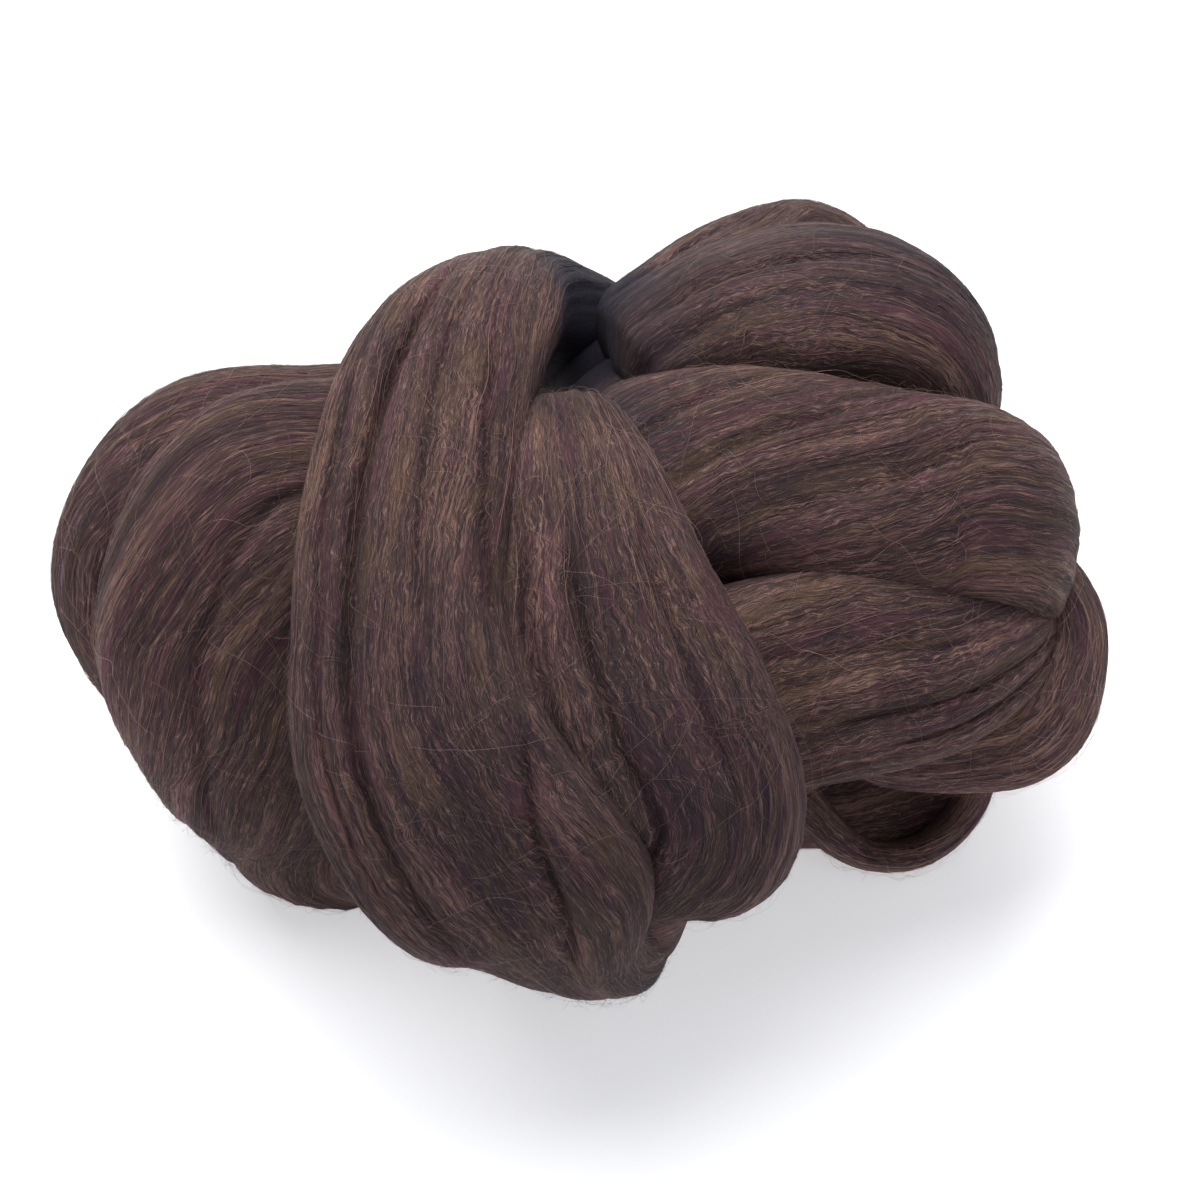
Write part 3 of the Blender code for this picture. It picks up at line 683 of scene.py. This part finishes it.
def tubes(name, centres, out, radius, shade, tone):
    """Closed three-sided tubes with pointed ends round rows of centres, their UV the way along and a tone."""
    count, steps = centres.shape[:2]
    along = unit(np.gradient(centres, axis=1))
    out = unit(out - (out * along).sum(-1, keepdims=True) * along)
    side = np.cross(along, out)
    spokes = np.radians([90, 210, 330])
    ring = np.cos(spokes)[:, None] * side[:, 1:-1, None, :] + np.sin(spokes)[:, None] * out[:, 1:-1, None, :]
    rings = centres[:, 1:-1, None, :] + radius[:, 1:-1, None, None] * ring
    points = np.concatenate([rings.reshape(count, -1, 3), centres[:, :1], centres[:, -1:]], axis=1)
    points[:, :, 2] = np.maximum(points[:, :, 2], LOWEST_FIBRE)
    corners, sizes = closed_faces(steps - 2, 3, -1)
    every = (corners[None, :] + points.shape[1] * np.arange(count)[:, None]).ravel()
    way = np.linspace(0, 1, steps)
    place = np.concatenate([np.repeat(way[1:-1], 3), [0, 1]])[corners]
    uv = np.stack(np.broadcast_arrays(place[None, :], tone[:, None]), axis=-1).reshape(-1, 2)
    shade = np.concatenate([np.repeat(shade[:, 1:-1], 3, axis=1), shade[:, :1], shade[:, -1:]], axis=1)
    return mesh_piece(name, points.reshape(-1, 3), every, np.tile(sizes, count), uv, shade)


# ---- strands and hairs ----
# Fibres that lie on the skins: how many beside a skin's own number, the points of each, their length and
# radius, the length and size of their crimp, their height over the skin and their lean from its fibres.
Comb = namedtuple("Comb", "name count steps length_low length_high radius_low radius_high"
                          " wave size lift tilt")
COMBS = [
    Comb("strands", 0.16, 14, 35, 90, 0.06, 0.11, 34.0, 0.8, 0.16, 0.012),
    Comb("crimps", 1.15, 8, 5, 13, 0.022, 0.042, 8.0, 0.28, 0.26, 0.16),
]
TRIES = 3                    # places tried for each fibre
COMB_BAND = (0.21, 0.79)     # part of the way round a skin where they lie
BEND_ROUNDS = 3              # rounds that fit a fibre to the wander of the skin's fibres

# Loose hairs: least and greatest of their sizes, angles in radians and waves in each hair.
LOOSE_SHARE = 0.17
LOOSE_TRIES = 4
LOOSE_STEPS = 18
LOOSE_LENGTH = (8, 36)
LOOSE_HEADING = (0.15, 1.3)
LOOSE_BAND = (0.25, 0.75)
LOOSE_END_BAND = (0.22, 0.78)
LOOSE_CURL = (0.4, 2.0)
LOOSE_SWING = (0.3, 1.8)
LOOSE_RISE = (0.3, 3.2)
LOOSE_RADIUS = (0.016, 0.032)
FREE_SHARE = 0.35            # share of the loose hairs with one end free in the air

# Fuzz: least and greatest of its sizes, and of the share of a hair's length by which it stands up.
FUZZ_SHARE = 0.42
FUZZ_STEPS = 7
FUZZ_LENGTH = (1.5, 6.5)
FUZZ_STAND = (0.15, 0.7)
FUZZ_BAND = (0.2, 0.8)
FUZZ_RADIUS = (0.02, 0.04)


def on_skin(skin, u, v):
    """Points and outward directions of a skin at u along and v round, between its four nearest points."""
    rows, columns = skin.points.shape[:2]
    way = np.clip(np.interp(u, skin.u, np.arange(rows)), 0, rows - 1.001)
    lap = np.clip(np.interp(v, skin.v[:-1], np.arange(columns)), 0, columns - 1.001)
    i = way.astype(int)
    j = lap.astype(int)
    s = (way - i)[..., None]
    t = (lap - j)[..., None]
    places = []
    for grid in (skin.points, skin.out):
        near = grid[i, j] * (1 - t) + grid[i, j + 1] * t
        far = grid[i + 1, j] * (1 - t) + grid[i + 1, j + 1] * t
        places.append(near * (1 - s) + far * s)
    return places[0], unit(places[1])


def open_to_air(tree, points, out, reach=70.0, off=1.2):
    """For each point, whether nothing lies over it along its outward direction."""
    rays = zip(points + off * out, out)
    return np.array([tree.ray_cast(Vector(start), Vector(way), reach)[0] is None for start, way in rays])


def within(low_high, whole, count, rng):
    """Random values between two parts of a whole."""
    return rng.uniform(low_high[0] * whole, low_high[1] * whole, count)


def lying(skin, lay, tree, rng, comb):
    """Fibres that keep to a skin's combed direction, with a crimp, and dive in at both ends.

    The place round is that of the start, plus a tilt and a sine of the distance along, less the wander there,
    and the height is an arch with a bob.  As with the hairs, what comes back is centre lines, outward
    directions, radii and shades.
    """
    lap, full = skin.v[-1], skin.u[-1]
    count = int(comb.count * lay.fibres)
    many = TRIES * count
    length = rng.uniform(comb.length_low, comb.length_high, many)
    start = within((lay.begin, lay.end), full, many, rng)
    place = within(COMB_BAND, lap, many, rng)
    middle, out = on_skin(skin, np.clip(start + 0.5 * length, 0, full), place)
    keep = np.flatnonzero(open_to_air(tree, middle, out) & (start + length < full - 1))[:count]
    length, start, place = length[keep, None], start[keep, None], place[keep, None]
    way = np.linspace(0, 1, comb.steps)
    u = start + length * way
    phase = rng.uniform(0, 2 * math.pi, (2, len(keep), 1))
    wave = comb.wave * rng.uniform(0.7, 1.5, (len(keep), 1))
    size = comb.size * rng.uniform(0.3, 1.3, (len(keep), 1))
    tilt = comb.tilt * rng.normal(0, 1, (len(keep), 1)) * (u - u.mean(1, keepdims=True))
    line = place + tilt + size * np.sin(2 * math.pi * u / wave + phase[0])
    v = line
    first_shift = wandering(skin.name, start, place, lap, lay.seed)
    for _ in range(BEND_ROUNDS):
        v = line - wandering(skin.name, u, v, lap, lay.seed) + first_shift
    centres, out = on_skin(skin, u, v)
    arch = np.sin(math.pi * way)
    radius = rng.uniform(comb.radius_low, comb.radius_high, (len(keep), 1)) * arch ** 0.4
    bob = 0.5 + 0.5 * np.sin(2 * math.pi * u / (1.3 * wave) + phase[1])
    lift = comb.lift * (0.3 + bob) * arch ** 0.5 - 0.25 * (1 - arch)
    return centres + lift[:, :, None] * out, out, radius, painted_shading_of(skin.name, u / full, v / lap)


def loose(skin, lay, tree, rng):
    """Loose hairs: straight over the skin at any angle to its fibres, plus a sine along and a cosine round.

    The height is an arch, or a power of the way where one end is free.
    """
    lap, full = skin.v[-1], skin.u[-1]
    count = int(LOOSE_SHARE * lay.fibres)
    many = LOOSE_TRIES * count
    length = rng.uniform(*LOOSE_LENGTH, many)
    heading = rng.uniform(*LOOSE_HEADING, many) * rng.choice([-1, 1], many)
    start = within((lay.begin, lay.end), full, many, rng)
    place = within(LOOSE_BAND, lap, many, rng)
    go_u = length * np.cos(heading)
    go_v = length * np.sin(heading)
    end_round = (place + go_v) / lap
    inside = (start + go_u < full - 2) & (end_round > LOOSE_END_BAND[0]) & (end_round < LOOSE_END_BAND[1])
    middle, out = on_skin(skin, start, place)
    keep = np.flatnonzero(open_to_air(tree, middle, out) & inside)[:count]
    way = np.linspace(0, 1, LOOSE_STEPS)
    curl = rng.uniform(*LOOSE_CURL, (len(keep), 1))
    size = rng.uniform(*LOOSE_SWING, (len(keep), 1))
    phase = rng.uniform(0, 2 * math.pi, (2, len(keep), 1))
    turn = 2 * math.pi * curl * way
    u = start[keep, None] + go_u[keep, None] * way + size * np.sin(turn + phase[0])
    v = place[keep, None] + go_v[keep, None] * way + size * np.cos(1.3 * turn + phase[1])
    centres, out = on_skin(skin, u, v)
    high = rng.uniform(*LOOSE_RISE, (len(keep), 1))
    free = rng.random((len(keep), 1)) < FREE_SHARE
    arch = np.sin(math.pi * way)
    rise = np.where(free, high * way**1.5, high * arch ** 0.8)
    lift = 0.15 + rise * (0.75 + 0.25 * np.sin(2 * turn + phase[1]))
    radius = rng.uniform(*LOOSE_RADIUS, (len(keep), 1)) * (0.4 + 0.6 * arch ** 0.3)
    return centres + lift[:, :, None] * out, out, radius, painted_shading_of(skin.name, u / full, v / lap)


def fuzzy(skin, lay, tree, rng):
    """Short hairs: from the root a share of the way outwards, less near the tip, and the rest sideways."""
    lap, full = skin.v[-1], skin.u[-1]
    count = int(FUZZ_SHARE * lay.fibres)
    start = within((lay.begin, lay.end), full, TRIES * count, rng)
    place = within(FUZZ_BAND, lap, TRIES * count, rng)
    root, out = on_skin(skin, start, place)
    keep = np.flatnonzero(open_to_air(tree, root, out))[:count]
    root, out = root[keep], out[keep]
    bend = rng.normal(0, 1, (len(keep), 3))
    bend = unit(bend - (bend * out).sum(-1, keepdims=True) * out)
    length = rng.uniform(*FUZZ_LENGTH, (len(keep), 1, 1))
    way = np.linspace(0, 1, FUZZ_STEPS)[None, :, None]
    stand = rng.uniform(*FUZZ_STAND, (len(keep), 1, 1))
    over = bend[:, None] * way * np.sqrt(1 - stand**2) + out[:, None] * stand * way * (1.25 - 0.45 * way)
    centres = root[:, None] - 0.1 * out[:, None] + length * over
    radius = rng.uniform(*FUZZ_RADIUS, (len(keep), 1)) * (1 - 0.5 * way[..., 0])
    shade = painted_shading_of(skin.name, start[keep, None] / full, place[keep, None] / lap) + 0 * radius
    return centres, np.broadcast_to(out[:, None], centres.shape), radius, shade


# ---- materials ----
# Bluish colour of painted shadow, added where the painted shading is under one.
PAINTED_SHADOW_BLUE = (0.0190, 0.0190, 0.0290)
DARK = (0.0165, 0.0127, 0.0172, 1.0)
BROWN = (0.0715, 0.0428, 0.0382, 1.0)
TAN = (0.2100, 0.1200, 0.0930, 1.0)
CREAM = (0.36, 0.27, 0.22, 1.0)
REDDISH = (0.0950, 0.0330, 0.0480, 1.0)
OLIVE = (0.0980, 0.0610, 0.0320, 1.0)
# Fine pale lines that stray from the combed direction: their slope, and the place where their pattern starts.
STRAY_LINES = [(0.22, 1.3), (-0.18, 2.9), (0.55, 4.1), (-0.05, 0.7)]
SWERVE = 2.0                 # millimetres from side to side in which the fibres of the material swerve
CURL = 0.36                  # and in which they curl
STRAY_SWERVE = 3.0           # and in which the stray lines swerve


class Wire:
    """A socket of a material, whose sums, differences and products add Math nodes."""

    def __init__(self, finish, socket):
        self.finish = finish
        self.socket = socket

    def maths(self, operation, *values):
        return self.finish.node("ShaderNodeMath", {"operation": operation}, dict(enumerate(values)))

    def __add__(self, other):
        return self.maths("ADD", self, other)

    def __radd__(self, other):
        return self.maths("ADD", other, self)

    def __sub__(self, other):
        return self.maths("SUBTRACT", self, other)

    def __rsub__(self, other):
        return self.maths("SUBTRACT", other, self)

    def __mul__(self, other):
        return self.maths("MULTIPLY", self, other)

    def __rmul__(self, other):
        return self.maths("MULTIPLY", other, self)

    def held(self):
        """The value kept from 0 to 1."""
        return self.finish.node("ShaderNodeClamp", {}, {0: self})


class Finish:
    """A material in the making: its nodes are added one by one and end in one Principled shader."""

    def __init__(self, name, **constants):
        self.material = bpy.data.materials.new(name)
        self.material.use_nodes = True
        self.tree = self.material.node_tree
        self.shader = self.tree.nodes["Principled BSDF"]
        for socket, value in constants.items():
            self.shader.inputs[socket.replace("_", " ")].default_value = value

    def node(self, kind, settings, sockets, output=0):
        """A node of that kind, its settings made first, with values or wires in its sockets."""
        made = self.tree.nodes.new(kind)
        for name, value in settings.items():
            setattr(made, name, value)
        for name, value in sockets.items():
            if isinstance(value, Wire):
                self.tree.links.new(value.socket, made.inputs[name])
            else:
                made.inputs[name].default_value = value
        return Wire(self, made.outputs[output])

    def blended(self, factor, first, second):
        """Mix of two colours."""
        return self.node("ShaderNodeMix", {"data_type": "RGBA"}, {0: factor, 6: first, 7: second}, 2)

    def drawn_out(self, place, length, width, detail=2.0, roughness=0.5):
        """Noise drawn out along the fibres: its grain is that long and wide, in millimetres."""
        share = (1 / (length * UV_SHARE), 1 / (width * UV_SHARE), 1.0)
        stretched = self.node("ShaderNodeVectorMath", {"operation": "MULTIPLY"}, {0: place, 1: share})
        sockets = {"Vector": stretched, "Scale": 1.0, "Detail": detail, "Roughness": roughness}
        return self.node("ShaderNodeTexNoise", {"noise_dimensions": "2D"}, sockets)

    def with_painted_shading(self, colour):
        """The colour times the painted shading the piece carries, plus painted bluish shadow where that is
        under one.
        """
        shade = self.node("ShaderNodeAttribute", {"attribute_name": "shade"}, {}, 2)
        scaled = self.node("ShaderNodeVectorMath", {"operation": "SCALE"}, {0: colour, 3: shade})
        painted_shadow = self.node("ShaderNodeVectorMath", {"operation": "SCALE"}, {0: PAINTED_SHADOW_BLUE, 3: (1.0 - shade).held()})
        return self.node("ShaderNodeVectorMath", {"operation": "ADD"}, {0: scaled, 1: painted_shadow})

    def into(self, name, wire):
        """Leads a wire into the shader."""
        self.tree.links.new(wire.socket, self.shader.inputs[name])


def combed_wool():
    """Combed wool: long soft bands, streaks and fine wavy fibres in browns, drawn out along the fibres."""
    finish = Finish("combed_wool", Specular_IOR_Level=0.10, Specular_Tint=(1.0, 0.72, 0.62, 1.0),
                    Sheen_Weight=0.03, Sheen_Tint=(0.9, 0.62, 0.6, 1.0))
    flat = finish.node("ShaderNodeUVMap", {"uv_map": "fibre"}, {})
    ripple = finish.drawn_out(flat, 7, 5.0, 1.0)
    curl = finish.drawn_out(flat, 2.0, 0.8, 0.0)
    swerve = (ripple - 0.5) * (SWERVE * UV_SHARE) + (curl - 0.5) * (CURL * UV_SHARE)
    crimp = finish.node("ShaderNodeCombineXYZ", {}, {"X": 0.0, "Y": swerve, "Z": 0.0})
    place = finish.node("ShaderNodeVectorMath", {"operation": "ADD"}, {0: flat, 1: crimp})
    bands = finish.drawn_out(place, 60, 8)
    streak = finish.drawn_out(place, 24, 0.6, 2.0, 0.6)
    fibre = finish.drawn_out(place, 3.0, 0.11, 1.0, 0.6)
    tint = finish.drawn_out(place, 11, 1.8, 1.0) * 0.45 + finish.drawn_out(place, 32, 7.0, 1.0) * 0.55
    shade = ((bands - 0.5) * 1.0 + (streak - 0.5) * 1.5 + (fibre - 0.5) * 1.9 + 0.47).held()
    along = finish.node("ShaderNodeSeparateXYZ", {}, {0: place}, 0)
    across = finish.node("ShaderNodeSeparateXYZ", {}, {0: place}, 1)
    pale = (shade - 0.66) * 2.0
    for tilt, first in STRAY_LINES:
        bend = finish.drawn_out(place, 4.0 + first, 2.6, 1.0)
        line = across + along * tilt + (bend - 0.5) * (STRAY_SWERVE * UV_SHARE)
        spot = finish.node("ShaderNodeCombineXYZ", {}, {"X": along + first, "Y": line, "Z": 0.0})
        stray = finish.drawn_out(spot, 3.6, 0.13, 0.0)
        pale = pale + ((stray - 0.70) * 8.0).held() * 0.7
    pale = pale.held()
    brown = finish.blended(shade, DARK, BROWN)
    brown = finish.blended(pale, brown, TAN)
    warm = finish.blended(((tint - 0.5) * 3.6).held() * 0.55, brown, REDDISH)
    wool = finish.blended(((0.5 - tint) * 3.6).held() * 0.50, warm, OLIVE)
    # Base colour with the painted light and shade, and painted bluish shadow.
    finish.into("Base Color", finish.with_painted_shading(wool))
    finish.into("Roughness", (0.75 - 0.2 * shade).held())
    height = streak * 0.5 + fibre * 0.8
    bump = finish.node("ShaderNodeBump", {}, {"Strength": 0.9, "Distance": 0.0003, "Height": height})
    finish.into("Normal", bump)
    return finish.material


def fibre_wool(name, dark, mid, pale, roughness):
    """Single fibres, each of one brown from dark to pale by its own tone."""
    finish = Finish(name, Roughness=roughness, Specular_IOR_Level=0.4, Specular_Tint=(1.0, 0.75, 0.62, 1.0))
    place = finish.node("ShaderNodeUVMap", {"uv_map": "fibre"}, {})
    tone = finish.node("ShaderNodeSeparateXYZ", {}, {0: place}, 1)
    low = finish.blended((tone * 2.0).held(), dark, mid)
    # Each fibre's tone times the painted light and shade of its skin, with painted bluish shadow.
    finish.into("Base Color", finish.with_painted_shading(finish.blended((tone * 2.0 - 1.0).held(), low, pale)))
    return finish.material


def plain_floor():
    """Plain pale floor."""
    return Finish("pale_floor", Base_Color=(0.8, 0.8, 0.8, 1.0), Roughness=0.9,
                  Emission_Color=(1.0, 1.0, 1.0, 1.0), Emission_Strength=0.42).material


# ---- pieces ----
def whole_piece(piece, material):
    """The piece in its material, riding on the body and standing for the solid."""
    piece.data.materials.append(material)
    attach(piece, "root")
    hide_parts("roving")


# Skins: nose, steps along and across, fibres on them, part of their length that shows, and their own noise.
Lay = namedtuple("Lay", "name nose along across fibres begin end seed")
LAYS = [
    Lay("left_ply", 12, 2.2, 0.60, 2300, 0.04, 0.97, 3),
    Lay("right_ply", 12, 2.2, 0.60, 900, 0.05, 0.95, 8),
    Lay("broad", 12, 2.2, 0.60, 560, 0.02, 0.62, 13),
    Lay("top", 12, 2.2, 0.60, 460, 0.02, 0.62, 18),
    Lay("front", 8, 2.0, 0.60, 400, 0.02, 0.97, 23),
    Lay("back_top", 12, 2.6, 0.80, 300, 0.02, 0.62, 28),
    Lay("back_low", 12, 2.8, 1.00, 260, 0.02, 0.62, 33),
    Lay("under", 12, 3.2, 1.60, 60, 0.02, 0.62, 38),
    Lay("under_front", 12, 2.8, 1.20, 120, 0.02, 0.62, 43),
    Lay("left_broad", 14, 2.2, 0.60, 900, 0.03, 0.92, 48),
    Lay("left_rim", 14, 2.2, 0.65, 620, 0.03, 0.92, 53),
    Lay("left_low", 14, 2.2, 0.65, 420, 0.03, 0.92, 58),
    Lay("twist", 10, 2.0, 0.50, 260, 0.05, 0.90, 63),
    Lay("loop_wall", 5, 2.0, 0.60, 160, 0.05, 0.95, 68),
    Lay("loop_floor", 8, 3.0, 1.20, 30, 0.05, 0.95, 73),
    Lay("loop_back", 8, 3.0, 1.20, 40, 0.05, 0.95, 78),
    Lay("core", 30, 4.0, 3.00, 60, 0.05, 0.95, 83),
    Lay("waist_filling", 10, 4.0, 3.00, 0, 0.05, 0.95, 88),
    Lay("front_filling", 10, 4.0, 3.00, 0, 0.05, 0.95, 93),
]
LOWEST_STEP = 0.03       # height by which each skin lies over the one before, so that none share a face


def centre_lines():
    """Rows of every fold by name."""
    lines = {fold.name: fold_path(fold) for fold in FOLDS}
    lines.update(left_ply=ply_path(LEFT_PLY), right_ply=ply_path(RIGHT_PLY))
    lines.update(left_broad=placed_path(LEFT_BROAD), left_rim=placed_path(LEFT_RIM))
    lines.update(left_low=placed_path(LEFT_LOW), front=placed_path(FRONT), twist=placed_path(TWIST))
    lines.update(loop_wall=wall_path(LOOP_WALL))
    lines.update(loop_floor=slab_path(LOOP_FLOOR), loop_back=slab_path(LOOP_BACK))
    lines.update(core=filling_path(CORE), waist_filling=filling_path(WAIST_FILLING))
    lines.update(front_filling=filling_path(FRONT_FILLING))
    return lines


def all_skins():
    """Every fold as a fine skin."""
    lines = centre_lines()
    return [combed_skin(lay, lines[lay.name], LOWEST_STEP * place) for place, lay in enumerate(LAYS)]


def air_tree(skins):
    """Search tree over all skins, for what lies over a point."""
    points = np.concatenate([item.points.reshape(-1, 3) for item in skins])
    faces = []
    start = 0
    for item in skins:
        rows, columns = item.points.shape[:2]
        faces.append(ring_quads(rows, columns)[0] + start)
        start = start + rows * columns
    return BVHTree.FromPolygons(points.tolist(), np.concatenate(faces).tolist())


def gathered(name, lines, material, rng):
    """One piece from the centre lines of many fibres, each with a random tone."""
    centres = np.concatenate([line[0] for line in lines])
    out = np.concatenate([line[1] for line in lines])
    radius = np.concatenate([line[2] for line in lines])
    shade = np.concatenate([line[3] for line in lines])
    whole_piece(tubes(name, centres, out, radius, shade, rng.random(len(centres))), material)


# Part of the bundle that a skin belongs to, where it isn't the right one.
GROUPS = {"left_ply": "winding", "right_ply": "winding", "left_broad": "left", "left_rim": "left",
          "left_low": "left"}


def roving():
    """The whole bundle: skins, combed strands, crimped fibres, loose hairs and fuzz."""
    skins = all_skins()
    wool = combed_wool()
    for item in skins:
        whole_piece(skin_piece(item), wool)
    tree = air_tree(skins)
    rng = np.random.default_rng(5)
    fibres = fibre_wool("combed_fibres", DARK, BROWN, TAN, 0.5)
    hairs = fibre_wool("loose_hairs", BROWN, TAN, CREAM, 0.45)
    shown = [(item, lay) for item, lay in zip(skins, LAYS) if lay.fibres]
    for group in ("winding", "left", "right"):
        members = [(item, lay) for item, lay in shown if GROUPS.get(lay.name, "right") == group]
        for comb in COMBS:
            lines = [lying(item, lay, tree, rng, comb) for item, lay in members]
            gathered(group + "_" + comb.name, lines, fibres, rng)
    gathered("loose_hairs", [loose(item, lay, tree, rng) for item, lay in shown], hairs, rng)
    gathered("fuzz", [fuzzy(item, lay, tree, rng) for item, lay in shown], fibres, rng)


# ---- studio ----
AIM = np.array([2.50, -2.40, 60.55])     # point of the tables' frame in the middle of the picture
CAMERA_FAR = 0.9         # metres from there to the camera
CAMERA_LENS = 113.4
FLOOR_HALF = 6.0         # metres
SKY = (0.93, 0.96, 1.12, 1.0)
SKY_STRENGTH = 0.39
LAMPS_AIM = Vector((0.0, 0.0, 0.05))
# Disc lamps: place and width in metres, and power in watts.
Lamp = namedtuple("Lamp", "name x y z side power")
LAMPS = [
    Lamp("key", -0.25, 0.80, 1.25, 2.0, 45.5),
    Lamp("fill", 0.6, -0.9, 0.9, 1.2, 3.0),
]


def studio():
    """Pale floor, soft lamps, an even pale surround and the camera."""
    sides = [(-1, -1), (1, -1), (1, 1), (-1, 1)]
    data = bpy.data.meshes.new("floor")
    data.from_pydata([(FLOOR_HALF * x, FLOOR_HALF * y, 0) for x, y in sides], [], [(0, 1, 2, 3)])
    floor = bpy.data.objects.new("floor", data)
    data.materials.append(plain_floor())
    bpy.context.scene.collection.objects.link(floor)
    for lamp in LAMPS:
        light = bpy.data.lights.new(lamp.name, "AREA")
        light.shape = "DISK"
        light.size = lamp.side
        light.energy = lamp.power
        item = bpy.data.objects.new(lamp.name, light)
        item.location = (lamp.x, lamp.y, lamp.z)
        item.rotation_euler = (item.location - LAMPS_AIM).to_track_quat("Z", "Y").to_euler()
        bpy.context.scene.collection.objects.link(item)
    world = bpy.data.worlds.new("surround")
    world.use_nodes = True
    background = world.node_tree.nodes["Background"]
    background.inputs["Color"].default_value = SKY
    background.inputs["Strength"].default_value = SKY_STRENGTH
    bpy.context.scene.world = world
    bpy.context.scene.view_settings.view_transform = "Standard"
    lean = math.radians(LEAN)
    back = np.array([0.0, -math.cos(lean), math.sin(lean)])
    lens = bpy.data.cameras.new("camera")
    lens.lens = CAMERA_LENS
    lens.sensor_width = 36.0
    camera = bpy.data.objects.new("camera", lens)
    camera.location = (AIM - PLAN_MIDDLE) * MM + CAMERA_FAR * back
    camera.rotation_euler = Vector(back).to_track_quat("Z", "Y").to_euler()
    bpy.context.scene.collection.objects.link(camera)
    bpy.context.scene.camera = camera


studio()
roving()
